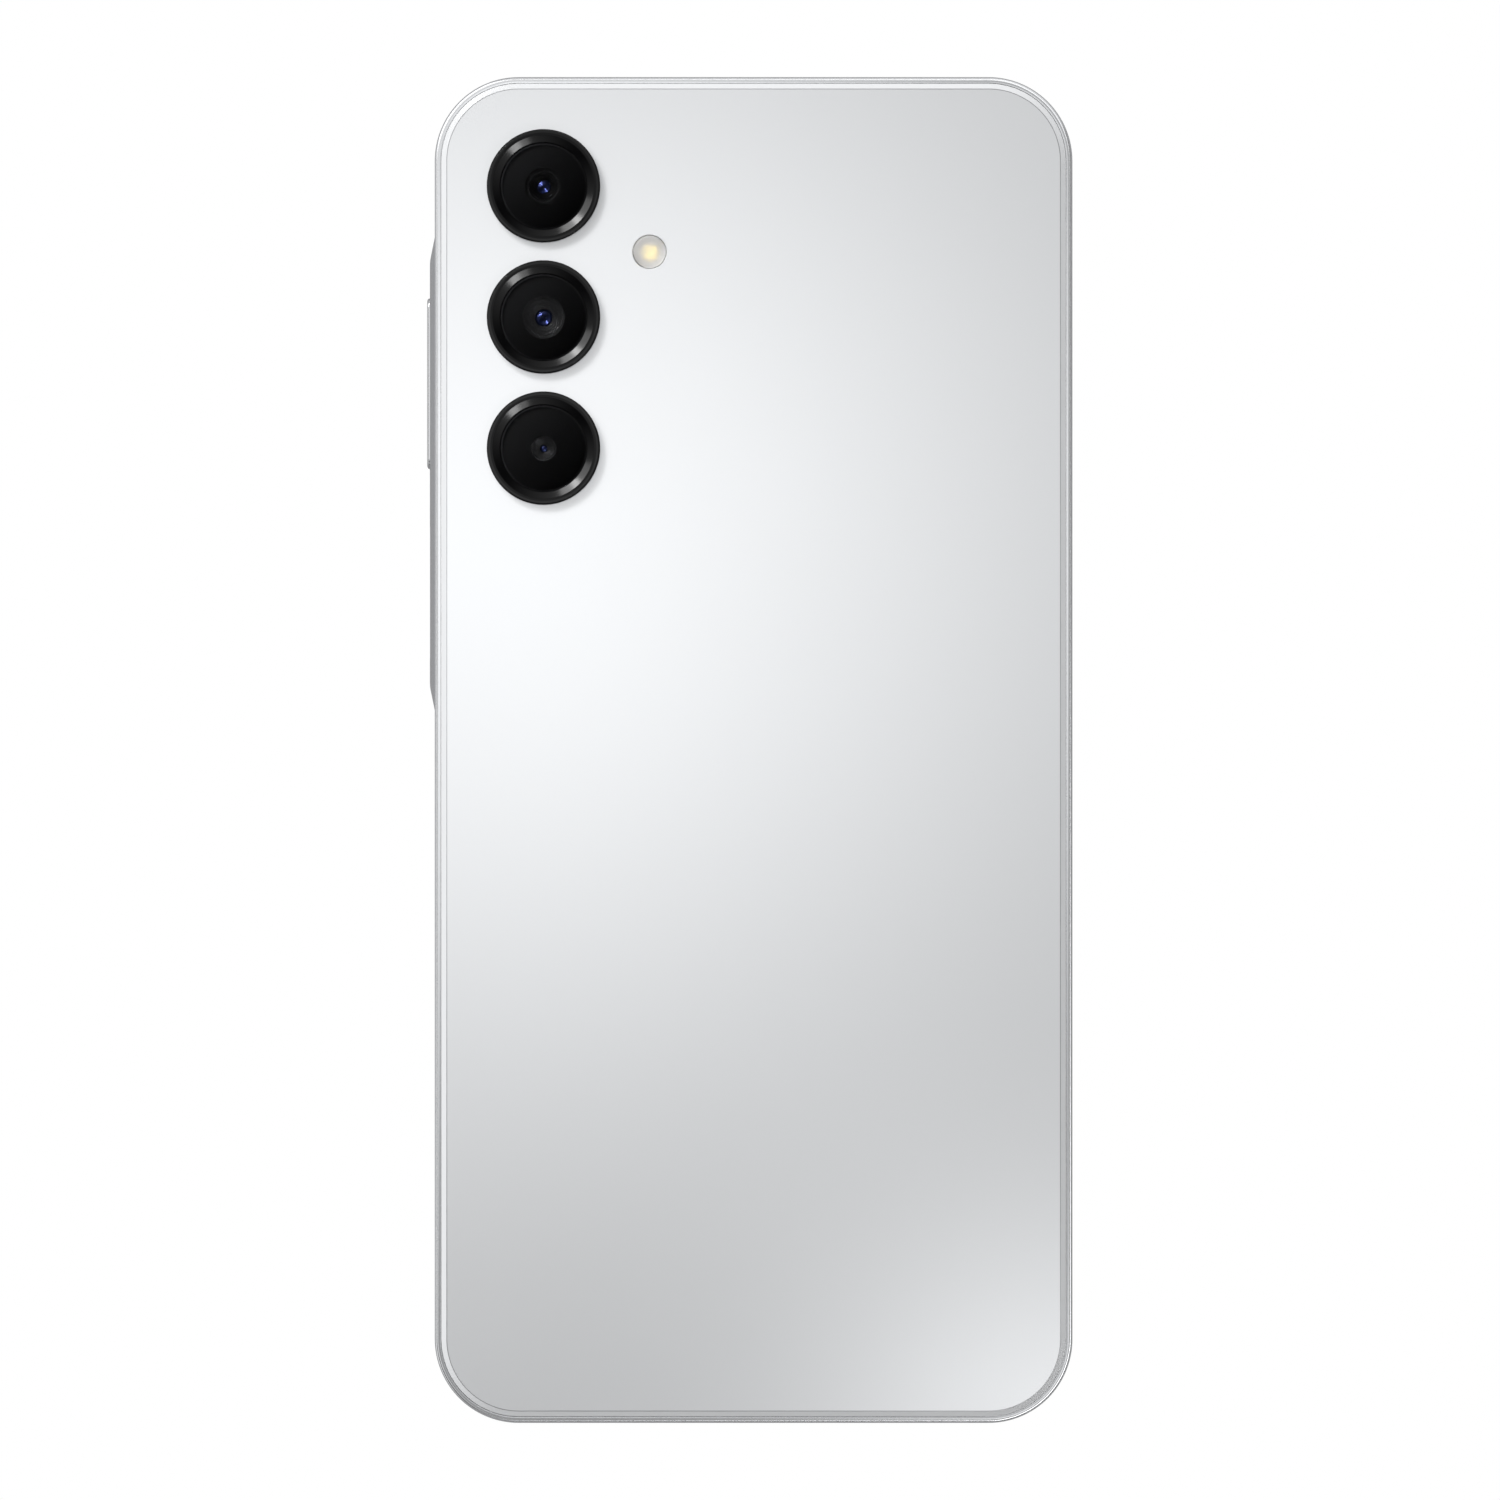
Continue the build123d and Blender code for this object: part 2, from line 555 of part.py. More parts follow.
SHIELDS = [
    ((-12.5, 8.0), (36.0, 56.5)),
    ((12.0, 29.0), (31.8, 40.2)),
    ((22.4, 33.2), (66.4, 75.4)),
    ((-10.6, 9.0), (63.6, 70.4)),
]
SHIELD_Z = (BOARD_Z[1], BOARD_Z[1] + 1.45)
SHIELD_WALL = 0.2
with BuildPart() as shield_cans:
    for x, y in SHIELDS:
        slab(x, y, SHIELD_Z)
        inner_x, inner_y = ((low + SHIELD_WALL, high - SHIELD_WALL) for low, high in (x, y))
        slab(inner_x, inner_y, (SHIELD_Z[0] - 0.1, SHIELD_Z[1] - SHIELD_WALL), mode=Mode.SUBTRACT)
shield_cans.part.label = "shield_cans"

CHIPS = [
    ((-8.5, 3.5), (38.0, 50.0), 1.0),
    ((-4.5, 4.5), (51.5, 55.5), 0.8),
    ((14.0, 20.0), (33.5, 38.5), 0.9),
    ((22.5, 27.0), (33.5, 38.0), 0.8),
    ((24.5, 30.5), (68.0, 73.5), 0.9),
    ((-8.0, -2.5), (64.8, 69.0), 0.8),
    ((1.0, 6.5), (64.8, 69.0), 0.8),
]
with BuildPart() as board_chips:
    for x, y, height in CHIPS:
        slab(x, y, (BOARD_Z[1], BOARD_Z[1] + height))
board_chips.part.label = "board_chips"

CONNECTORS = [
    ((-17.0, -12.6), (59.2, 62.2)),
    ((-16.6, -13.2), (64.6, 70.6)),
    ((-12.6, -6.6), (31.0, 34.0)),
    ((3.0, 8.4), (31.0, 34.0)),
    ((29.6, 31.6), (30.5, 32.0)),
    ((3.0, 9.0), (-65.5, -62.0)),
    ((15.0, 25.0), (-66.0, -63.0)),
    ((29.0, 30.6), (-62.4, -61.0)),
]
with BuildPart() as board_connectors:
    for x, y in CONNECTORS:
        slab(x, y, CONNECTOR_Z)
board_connectors.part.label = "board_connectors"

with BuildPart() as earpiece_receiver:
    slab((5.7, 18.4), (72.2, 78.8), (MID_PLATE_Z[1] + 0.05, 4.9))
    fillet(earpiece_receiver.edges().filter_by(Axis.Z), 1.2)
    slab((8.0, 12.0), (77.8, 79.0), (MID_PLATE_Z[1], 3.0), mode=Mode.SUBTRACT)
earpiece_receiver.part.label = "earpiece_receiver"

with BuildPart() as microphones:
    for x, y in ((MIC_BOTTOM_X, -76.9), (MIC_TOP_X, 75.7)):
        slab((x - 1.7, x + 1.7), (y - 1.3, y + 1.3), (BOARD_Z[1], BOARD_Z[1] + 1.0))
microphones.part.label = "microphones"

# ---- Covers over the boards, and their screws ------------------------------------------------------
with BuildPart() as upper_cover:
    with BuildSketch(Plane.XY.offset(UPPER_COVER_Z[0])):
        cavity_area(MAIN_BOARD_X, (MAIN_BOARD_Y[0], 78.6))
    extrude(amount=length(UPPER_COVER_Z))
    slab((-8.0, 17.0), (70.5, 77.0), (UPPER_COVER_Z[1] - 0.1, 6.6))
    slab((14.0, 28.5), (46.0, 60.0), (UPPER_COVER_Z[1] - 0.1, 6.6))
    slab((-11.0, 6.0), (35.5, 52.0), (UPPER_COVER_Z[1] - 0.1, 6.6))
    cover_holes(UPPER_SCREWS, UPPER_COVER_Z)
    post(FLASH, 2.75, (5.55, 7.0), mode=Mode.SUBTRACT)
upper_cover.part.label = "upper_cover"

with BuildPart() as lower_cover:
    with BuildSketch(Plane.XY.offset(LOWER_COVER_Z[0])):
        cavity_area(SUB_BOARD_X, SUB_BOARD_Y)
    extrude(amount=length(LOWER_COVER_Z))
    cover_holes(LOWER_SCREWS, LOWER_COVER_Z)
lower_cover.part.label = "lower_cover"

with BuildPart() as cover_screws:
    for screws, (_, top) in COVER_FIXINGS:
        for centre in screws:
            x, y = square(centre, 1.3)
            across = (centre[0] - 0.17, centre[0] + 0.17)
            along = (centre[1] - 0.17, centre[1] + 0.17)
            post(centre, SCREW_RADIUS, (top - 3.0, top - 0.4))
            post(centre, SCREW_HEAD_RADIUS, (top - 0.45, top + 0.1))
            slab(x, along, (top - 0.2, top + 0.2), mode=Mode.SUBTRACT)
            slab(across, y, (top - 0.2, top + 0.2), mode=Mode.SUBTRACT)
cover_screws.part.label = "cover_screws"

# ---- Battery and the cables that run past it -------------------------------------------------------
with BuildPart() as battery:
    slab(BATTERY_X, BATTERY_Y, BATTERY_Z)
    fillet(battery.edges().filter_by(Axis.Y), 0.9)
    slab((-30.0, 30.0), (BATTERY_Y[1] - 3.4, BATTERY_Y[1] + 1), (5.6, 7.0), mode=Mode.SUBTRACT)
battery.part.label = "battery"

with BuildPart() as battery_flex:
    slab((-12.0, -7.2), (BATTERY_Y[1], 34.0), (CONNECTOR_Z[1], CONNECTOR_Z[1] + FLEX))
    slab((-12.4, -6.8), (31.0, 34.0), (CONNECTOR_Z[1] + FLEX, CONNECTOR_Z[1] + 0.6))
battery_flex.part.label = "battery_flex"

with BuildPart() as interconnect_flex:
    strip_x, top_z, land_z = (3.2, 8.2), (6.8, 6.8 + FLEX), (CONNECTOR_Z[1], CONNECTOR_Z[1] + FLEX)
    upper_y, lower_y = (28.28, 28.28 + FLEX), (-59.55, -59.55 + FLEX)
    slab(strip_x, (lower_y[0], upper_y[1]), top_z)
    slab(strip_x, upper_y, (land_z[0], top_z[1]))
    slab(strip_x, (upper_y[0], 34.0), land_z)
    slab(strip_x, lower_y, (land_z[0], top_z[1]))
    slab(strip_x, (-65.5, lower_y[1]), land_z)
interconnect_flex.part.label = "interconnect_flex"

CABLE_RADIUS = 0.4
CABLE_Z = 4.65
with BuildPart() as antenna_cable:
    with BuildLine() as cable_path:
        FilletPolyline(
            (30.6, 31.2, CABLE_Z),
            (34.7, 28.0, CABLE_Z),
            (34.7, -58.5, CABLE_Z),
            (29.8, -61.7, CABLE_Z),
            radius=4.0,
        )
    with BuildSketch(Plane(origin=cable_path.line @ 0, z_dir=cable_path.line % 0)):
        Circle(CABLE_RADIUS)
    sweep()
antenna_cable.part.label = "antenna_cable"

# ---- Bottom board, charging port and vibration motor -----------------------------------------------
with BuildPart() as sub_board:
    with BuildSketch(Plane.XY.offset(BOARD_Z[0])):
        cavity_area(SUB_BOARD_X, SUB_BOARD_Y)
        with Locations((0, -77.0)):
            Rectangle(USB_SHELL_SIZE[0] + 0.6, 5.4, mode=Mode.SUBTRACT)
        with Locations(MOTOR):
            Circle(MOTOR_RADIUS + 0.3, mode=Mode.SUBTRACT)
    extrude(amount=length(BOARD_Z))
    board_holes(LOWER_SCREWS)
sub_board.part.label = "sub_board"

usb_inner = (USB_SHELL_SIZE[0] - 2 * USB_WALL, USB_SHELL_SIZE[1] - 2 * USB_WALL)
usb_through_y = (USB_SHELL_Y[0] - 1, USB_SHELL_Y[1] + 1)
with BuildPart() as usb_port_shell:
    port_pad(0, FRAME_MID_Z, USB_SHELL_SIZE, USB_SHELL_SIZE[1] / 2 - 0.01, USB_SHELL_Y)
    port_pad(0, FRAME_MID_Z, usb_inner, usb_inner[1] / 2 - 0.01, usb_through_y, mode=Mode.SUBTRACT)
usb_port_shell.part.label = "usb_port_shell"

tongue_x = (-USB_TONGUE_WIDTH / 2, USB_TONGUE_WIDTH / 2)
tongue_base = (usb_inner[0] - 0.04, usb_inner[1] - 0.04)
with BuildPart() as usb_port_tongue:
    port_pad(0, FRAME_MID_Z, tongue_base, tongue_base[1] / 2 - 0.02, (-75.3, USB_SHELL_Y[1]))
    slab(tongue_x, (-80.9, -75.2), USB_TONGUE_Z)
    fillet(usb_port_tongue.edges().filter_by(Axis.Z).sort_by(Axis.Y)[0:2], 0.5)
usb_port_tongue.part.label = "usb_port_tongue"

with BuildPart() as usb_contacts:
    for n in range(USB_CONTACTS):
        x = (n - (USB_CONTACTS - 1) / 2) * USB_CONTACT_PITCH
        for z in ((USB_TONGUE_Z[1], USB_TONGUE_Z[1] + 0.05), (USB_TONGUE_Z[0] - 0.05, USB_TONGUE_Z[0])):
            slab((x - 0.13, x + 0.13), (-80.3, -75.9), z)
usb_contacts.part.label = "usb_contacts"

with BuildPart() as vibration_motor_can:
    hollow_z = (MOTOR_Z[0] + MOTOR_WALL, MOTOR_Z[1] - MOTOR_WALL)
    post(MOTOR, MOTOR_RADIUS, MOTOR_Z)
    post(MOTOR, MOTOR_RADIUS - MOTOR_WALL, hollow_z, mode=Mode.SUBTRACT)
    post(MOTOR, SHAFT_RADIUS, MOTOR_Z)
vibration_motor_can.part.label = "vibration_motor_can"

with BuildPart() as vibration_rotor:
    with BuildSketch(Plane.XY.offset(MOTOR_Z[0] + 0.6)):
        with Locations(MOTOR):
            Circle(MOTOR_RADIUS - 0.5)
            with Locations((0, MOTOR_RADIUS)):
                Rectangle(3 * MOTOR_RADIUS, 2 * MOTOR_RADIUS, mode=Mode.SUBTRACT)
            Circle(1.1)
            Circle(ROTOR_BORE, mode=Mode.SUBTRACT)
    extrude(amount=1.5)
vibration_rotor.part.label = "vibration_rotor"

# ---- Loudspeaker -----------------------------------------------------------------------------------
def rectangle(centre, half_x, half_y):
    """The X and Y ranges of a rectangle about a centre."""
    return (centre[0] - half_x, centre[0] + half_x), (centre[1] - half_y, centre[1] + half_y)


with BuildPart() as speaker_box:
    with BuildSketch(Plane.XY.offset(SPEAKER_BOX_Z[0])):
        cavity_area(SPEAKER_BOX_X, SUB_BOARD_Y)
        with Locations(SPEAKER_SCREW):
            Rectangle(6.0, 5.0, mode=Mode.SUBTRACT)
    extrude(amount=length(SPEAKER_BOX_Z))
    slab((-28.6, -8.0), (-77.6, -61.4), (3.0, 6.0), mode=Mode.SUBTRACT)
    slab((-26.0, -12.0), (-79.0, -77.0), (3.4, 4.6), mode=Mode.SUBTRACT)
    slab((-34.2, -28.8), (-65.6, -61.0), LOWER_COVER_Z)
    cover_holes([SPEAKER_SCREW], LOWER_COVER_Z)
speaker_box.part.label = "speaker_box"

with BuildPart() as speaker_motor:
    slab(*rectangle(SPEAKER, 9.2, 7.0), (3.0, 5.3))
    slab(*rectangle(SPEAKER, 8.2, 6.2), (3.25, 5.4), mode=Mode.SUBTRACT)
    slab(*rectangle(SPEAKER, 4.0, 2.5), (3.1, 4.25))
speaker_motor.part.label = "speaker_motor"

with BuildPart() as speaker_diaphragm:
    slab(*rectangle(SPEAKER, 8.0, 6.0), (4.6, 4.85))
    fillet(speaker_diaphragm.edges().filter_by(Axis.Z), 1.5)
    slab(*rectangle(SPEAKER, 4.9, 3.4), (3.9, 4.7))
    slab(*rectangle(SPEAKER, 4.3, 2.8), (3.8, 4.6), mode=Mode.SUBTRACT)
speaker_diaphragm.part.label = "speaker_diaphragm"

with BuildPart() as speaker_mesh:
    grille_half = GRILLE_PITCH * (GRILLE_HOLES - 1) / 2 + 1.2
    slab((GRILLE_X - grille_half, GRILLE_X + grille_half), (-INNER_Y + 0.02, -INNER_Y + 0.2), (2.9, 5.1))
speaker_mesh.part.label = "speaker_mesh"

# ---- Keys ------------------------------------------------------------------------------------------
with BuildPart() as volume_key:
    side_pad((VOLUME_FACE_X, -37.5), VOLUME_Y, FRAME_MID_Z, VOLUME_SIZE, 1.2)
    fillet(volume_key.faces().sort_by(Axis.X)[0].edges(), 0.3)
    side_pad((-37.62, -37.12), VOLUME_Y, FRAME_MID_Z, (VOLUME_SIZE[0] + 2, VOLUME_SIZE[1] + 0.9), 0.8)
    for offset in (-DOME_OFFSET, DOME_OFFSET):
        side_pad((-37.2, POST_TIP_X), VOLUME_Y + offset, FRAME_MID_Z, (1.7, 1.7), 0.8)
    slab((-37.2, ROCKER_PIVOT_X), (VOLUME_Y - FULCRUM_RADIUS, VOLUME_Y + FULCRUM_RADIUS), (2.8, 5.2))
    post((ROCKER_PIVOT_X, VOLUME_Y), FULCRUM_RADIUS, (2.8, 5.2))
volume_key.part.label = "volume_key"

with BuildPart() as power_key:
    side_pad((POWER_FACE_X, -37.5), POWER_Y, FRAME_MID_Z, POWER_SIZE, 1.25)
    fillet(power_key.faces().sort_by(Axis.X)[0].edges(), 0.15)
    sensor_seat_x = (POWER_FACE_X - 1, POWER_FACE_X + 0.35)
    side_pad(sensor_seat_x, POWER_Y, FRAME_MID_Z, (13.25, 2.3), 0.9, mode=Mode.SUBTRACT)
    side_pad((-37.93, -37.3), POWER_Y, FRAME_MID_Z, (POWER_SIZE[0] + 1.8, POWER_SIZE[1] + 0.6), 0.8)
    side_pad((-37.4, POST_TIP_X), POWER_Y, FRAME_MID_Z, (1.9, 1.9), 0.9)
power_key.part.label = "power_key"

with BuildPart() as fingerprint_sensor:
    side_pad((POWER_FACE_X + 0.02, POWER_FACE_X + 0.35), POWER_Y, FRAME_MID_Z, (13.17, 2.22), 0.86)
fingerprint_sensor.part.label = "fingerprint_sensor"

DOME_PLACES = (VOLUME_Y - DOME_OFFSET, VOLUME_Y + DOME_OFFSET, POWER_Y)
with BuildPart() as key_domes:
    for y in DOME_PLACES:
        side_pad(DOME_X, y, FRAME_MID_Z, (3.4, 3.4), 1.68)
key_domes.part.label = "key_domes"

FLEX_X = (DOME_X[1], DOME_X[1] + 0.15)
with BuildPart() as key_flex:
    slab(FLEX_X, (10.4, 61.8), (3.1, 4.9))
    slab((FLEX_X[0], -12.8), (59.6, 61.8), (CONNECTOR_Z[1], CONNECTOR_Z[1] + 0.15))
key_flex.part.label = "key_flex"

with BuildPart() as key_bracket:
    slab((FLEX_X[1], FLEX_X[1] + 0.3), (9.6, 58.4), (2.4, 5.6))
    slab((FLEX_X[1] - 0.6, FLEX_X[1] + 0.3), (8.9, 9.9), (2.6, 5.4))
key_bracket.part.label = "key_bracket"

# ---- Card tray, its socket and its ejector ---------------------------------------------------------
plate_y = (TRAY_Y - TRAY_PLATE_SIZE[0] / 2, TRAY_Y + TRAY_PLATE_SIZE[0] / 2)
plate_z = (TRAY_Z - TRAY_PLATE_SIZE[1] / 2, TRAY_Z + TRAY_PLATE_SIZE[1] / 2)
CARDS = [((13.0, 24.1), 15.1, 6.2), ((25.4, 34.3), 12.4, 5.0)]
with BuildPart() as sim_tray:
    slab((TRAY_PLATE_X[0], TRAY_PLATE_X[1] + 0.2), plate_y, plate_z)
    for card_x, card_width, window_half in CARDS:
        card_y = (TRAY_Y - card_width / 2, TRAY_Y + card_width / 2)
        slab(card_x, card_y, (plate_z[1] - 0.75, plate_z[1] + 1), mode=Mode.SUBTRACT)
        window_x = (card_x[0] + 1.1, card_x[1] - 1.1)
        window_y = (TRAY_Y - window_half, TRAY_Y + window_half)
        slab(window_x, window_y, (plate_z[0] - 1, plate_z[1]), mode=Mode.SUBTRACT)
    side_pad(TRAY_HEAD_X, TRAY_HEAD_Y, TRAY_Z, TRAY_HEAD_SIZE, 1.1)
    with BuildSketch(Plane.YZ.offset(TRAY_HEAD_X[0] - 0.5)):
        with Locations((EJECT_Y, TRAY_Z)):
            Circle(EJECT_HOLE_RADIUS)
    extrude(amount=3, mode=Mode.SUBTRACT)
sim_tray.part.label = "sim_tray"

SEAL_X = (36.3, 37.0)
with BuildPart() as sim_tray_seal:
    side_pad(SEAL_X, TRAY_Y, TRAY_Z, (TRAY_SLOT_SIZE[0] - 0.08, TRAY_SLOT_SIZE[1] - 0.08), 0.76)
    slab((SEAL_X[0] - 1, SEAL_X[1] + 1), plate_y, plate_z, mode=Mode.SUBTRACT)
sim_tray_seal.part.label = "sim_tray_seal"

SOCKET_WALL = 0.15
with BuildPart() as sim_socket:
    socket_y = (plate_y[0] - 0.4, plate_y[1] + 0.4)
    slab((11.8, 35.2), socket_y, (BOARD_Z[1], 4.95))
    inside_y = (socket_y[0] + SOCKET_WALL, socket_y[1] - SOCKET_WALL)
    slab((11.0, 36.0), inside_y, (BOARD_Z[1] - 0.1, 4.95 - SOCKET_WALL), mode=Mode.SUBTRACT)
    post(LEVER_PIVOT, LEVER_PIN_RADIUS, (BOARD_Z[1], 4.6))
sim_socket.part.label = "sim_socket"

with BuildPart() as eject_lever:
    pivot_x, pivot_y = LEVER_PIVOT
    bar_z = (3.75, 4.35)
    slab((pivot_x - 0.4, pivot_x + 0.4), (EJECT_Y - 0.7, 55.4), bar_z)
    slab((pivot_x, pivot_x + 1.2), (53.4, 55.4), bar_z)
    post(LEVER_PIVOT, 1.1, bar_z)
    post(LEVER_PIVOT, LEVER_BORE, (bar_z[0] - 1, bar_z[1] + 1), mode=Mode.SUBTRACT)
eject_lever.part.label = "eject_lever"

with BuildPart() as eject_rod:
    rod_x = (LEVER_PIVOT[0] + 0.47, INNER_X - 0.25)
    slab(rod_x, (EJECT_Y - 0.4, EJECT_Y + 0.4), (TRAY_Z - 0.35, TRAY_Z + 0.35))
eject_rod.part.label = "eject_rod"

# ---- Write each piece ------------------------------------------------------------------------------
builders = [
    side_frame, cover_glass, display_panel, display_tape, earpiece_mesh, display_flex, mid_plate,
    rear_panel, rear_panel_tape, nfc_coil, lens_masks, main_camera_module, focus_barrel, main_lens,
    front_camera_module, fixed_lenses, flash_lens, flash_led, main_board, shield_cans, board_chips,
    board_connectors, earpiece_receiver, microphones, upper_cover, lower_cover, cover_screws, battery,
    battery_flex, interconnect_flex, antenna_cable, sub_board, usb_port_shell, usb_port_tongue,
    usb_contacts, vibration_motor_can, vibration_rotor, speaker_box, speaker_motor, speaker_diaphragm,
    speaker_mesh, volume_key, power_key, fingerprint_sensor, key_domes, key_flex, key_bracket, sim_tray,
    sim_tray_seal, sim_socket, eject_lever, eject_rod,
]
pieces = [builder.part for builder in builders] + rings + windows
pieces += [wide_camera_module, macro_camera_module]
os.makedirs("parts", exist_ok=True)
for piece in pieces:
    export_step(piece, f"parts/{piece.label}.step")
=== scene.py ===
import json
import math

import bmesh
import bpy
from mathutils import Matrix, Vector


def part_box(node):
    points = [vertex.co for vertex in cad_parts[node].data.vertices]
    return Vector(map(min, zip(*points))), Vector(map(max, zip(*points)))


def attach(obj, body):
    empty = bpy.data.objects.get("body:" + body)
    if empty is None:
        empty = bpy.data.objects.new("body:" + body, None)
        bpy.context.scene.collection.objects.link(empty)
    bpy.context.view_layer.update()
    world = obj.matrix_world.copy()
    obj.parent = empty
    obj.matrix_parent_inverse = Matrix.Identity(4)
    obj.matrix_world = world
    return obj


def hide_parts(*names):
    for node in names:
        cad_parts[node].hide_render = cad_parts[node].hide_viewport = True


# The looks of a slim smartphone that lies on its display with the rear panel up. The CAD nodes keep their
# shapes and get materials here. The fine detail that CAD leaves out is added as pieces that ride the same
# bodies, some of them in place of a CAD node. Metres, in the CAD frame: +Z out of the rear panel, +Y to the
# top edge, keys on the -X side.

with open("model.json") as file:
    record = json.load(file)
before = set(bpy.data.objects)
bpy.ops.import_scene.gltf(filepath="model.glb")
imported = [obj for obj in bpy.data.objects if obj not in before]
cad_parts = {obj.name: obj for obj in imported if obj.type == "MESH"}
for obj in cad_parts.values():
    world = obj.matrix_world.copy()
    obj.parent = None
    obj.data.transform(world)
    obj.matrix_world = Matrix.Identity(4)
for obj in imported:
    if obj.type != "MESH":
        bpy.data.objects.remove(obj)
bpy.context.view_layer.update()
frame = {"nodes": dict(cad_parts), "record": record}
nodes = frame["nodes"]
scene = bpy.context.scene
MM = 0.001


def centre_of(node):
    low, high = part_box(node)
    return (low + high) / 2


# ---- Places read from the frame --------------------------------------------------------------------
panel_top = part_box("rear_panel")[1].z
LENS = {place: centre_of(f"lens_window_{place}") for place in ("upper", "middle", "lower")}
LENS_PITCH = LENS["upper"].y - LENS["middle"].y
FLASH = centre_of("flash_lens")


# ---- Shader helpers --------------------------------------------------------------------------------
def rgb(red, green, blue):
    return (red, green, blue, 1.0)


def make_material(name, **sockets):
    """A Principled material; sockets are its inputs' names with underscores for spaces."""
    mat = bpy.data.materials.new(name)
    mat.use_nodes = True
    bsdf = mat.node_tree.nodes["Principled BSDF"]
    for key, value in sockets.items():
        bsdf.inputs[key.replace("_", " ")].default_value = value
    return mat


NOISE_ROUGHNESS = 0.55


class Graph:
    """Adds nodes to a node tree. Patterns are in object coordinates, so their scales are per metre."""

    def __init__(self, owner, coords="Object"):
        self.tree = owner.node_tree
        self.bsdf = self.tree.nodes.get("Principled BSDF")
        self.coords = self.tree.nodes.new("ShaderNodeTexCoord").outputs[coords]
        self.normal = None

    def node(self, kind, **settings):
        made = self.tree.nodes.new(kind)
        for key, value in settings.items():
            setattr(made, key, value)
        return made

    def link(self, source, target):
        self.tree.links.new(source, target)

    def fill(self, socket, value):
        """A socket takes a number, a vector or another node's output."""
        if isinstance(value, bpy.types.NodeSocket):
            self.link(value, socket)
        else:
            socket.default_value = value

    def axes(self):
        split = self.node("ShaderNodeSeparateXYZ")
        self.link(self.coords, split.inputs[0])
        return split.outputs[0], split.outputs[1], split.outputs[2]

    def stretched(self, scale):
        mapping = self.node("ShaderNodeMapping")
        mapping.inputs["Scale"].default_value = scale
        self.link(self.coords, mapping.inputs["Vector"])
        return mapping.outputs["Vector"]

    def noise(self, scale, detail=3.0, vector=None):
        noise = self.node("ShaderNodeTexNoise")
        noise.inputs["Scale"].default_value = scale
        noise.inputs["Detail"].default_value = detail
        noise.inputs["Roughness"].default_value = NOISE_ROUGHNESS
        self.link(vector or self.coords, noise.inputs["Vector"])
        return noise.outputs["Fac"]

    def cells(self, scale, vector=None, feature="F1"):
        cells = self.node("ShaderNodeTexVoronoi", feature=feature)
        cells.inputs["Scale"].default_value = scale
        self.link(vector or self.coords, cells.inputs["Vector"])
        return cells.outputs["Distance"]

    def spread(self, source, low, high, start=0.3, stop=0.7):
        ranged = self.node("ShaderNodeMapRange")
        ranged.inputs["From Min"].default_value = start
        ranged.inputs["From Max"].default_value = stop
        ranged.inputs["To Min"].default_value = low
        ranged.inputs["To Max"].default_value = high
        self.link(source, ranged.inputs["Value"])
        return ranged.outputs["Result"]

    def maths(self, operation, *values):
        maths = self.node("ShaderNodeMath", operation=operation)
        for socket, value in zip(maths.inputs, values):
            self.fill(socket, value)
        return maths.outputs[0]

    def distance(self, x, y):
        """The length of the vector (x, y)."""
        squares = self.maths("MULTIPLY_ADD", y, y, self.maths("MULTIPLY", x, x))
        return self.maths("SQRT", squares)

    def hill(self, x, y, centre, spread_x, spread_y):
        """A soft hill over the plane, 1 at centre."""
        across = self.maths("DIVIDE", self.maths("SUBTRACT", x, centre[0]), spread_x)
        along = self.maths("DIVIDE", self.maths("SUBTRACT", y, centre[1]), spread_y)
        squares = self.maths("MULTIPLY_ADD", along, along, self.maths("MULTIPLY", across, across))
        return self.maths("POWER", math.e, self.maths("MULTIPLY", squares, -0.5))

    def nearest_lens(self):
        """The offsets from the nearest lens axis and the distance to it."""
        x, y, _ = self.axes()
        half = LENS_PITCH / 2
        across = self.maths("SUBTRACT", x, LENS["middle"].x)
        along = self.maths("WRAP", self.maths("SUBTRACT", y, LENS["middle"].y), half, -half)
        return across, along, self.distance(across, along)

    def colours(self, source, *stops):
        """stops are (position, colour)."""
        ramp = self.node("ShaderNodeValToRGB")
        elements = ramp.color_ramp.elements
        while len(elements) < len(stops):
            elements.new(0.5)
        for element, (position, colour) in zip(elements, stops):
            element.position = position
            element.color = colour
        self.link(source, ramp.inputs["Fac"])
        return ramp.outputs["Color"]

    def greys(self, source, tones):
        """A ramp of greys: tones are (position, grey)."""
        return self.colours(source, *((position, rgb(grey, grey, grey)) for position, grey in tones))

    def drive(self, source, socket):
        self.link(source, self.bsdf.inputs[socket])

    def tint(self, source, low, high, start=0.3, stop=0.7):
        """The base colour goes from low to high as source goes from start to stop."""
        self.drive(self.colours(source, (start, low), (stop, high)), "Base Color")

    def bump(self, source, distance):
        """Bumps stack: each one's normal feeds the next."""
        bump = self.node("ShaderNodeBump")
        bump.inputs["Strength"].default_value = 1.0
        bump.inputs["Distance"].default_value = distance
        self.link(source, bump.inputs["Height"])
        if self.normal:
            self.link(self.normal, bump.inputs["Normal"])
        self.normal = bump.outputs["Normal"]
        self.drive(self.normal, "Normal")

    def let_lamps_through(self):
        """Lamps light what is behind this clear surface."""
        path = self.node("ShaderNodeLightPath")
        clear = self.node("ShaderNodeBsdfTransparent")
        mix = self.node("ShaderNodeMixShader")
        output = self.tree.nodes["Material Output"]
        self.link(path.outputs["Is Shadow Ray"], mix.inputs["Fac"])
        self.link(self.bsdf.outputs[0], mix.inputs[1])
        self.link(clear.outputs[0], mix.inputs[2])
        self.link(mix.outputs[0], output.inputs["Surface"])


TONE_SPREAD = 0.06
CLOUD_RATIO = 40


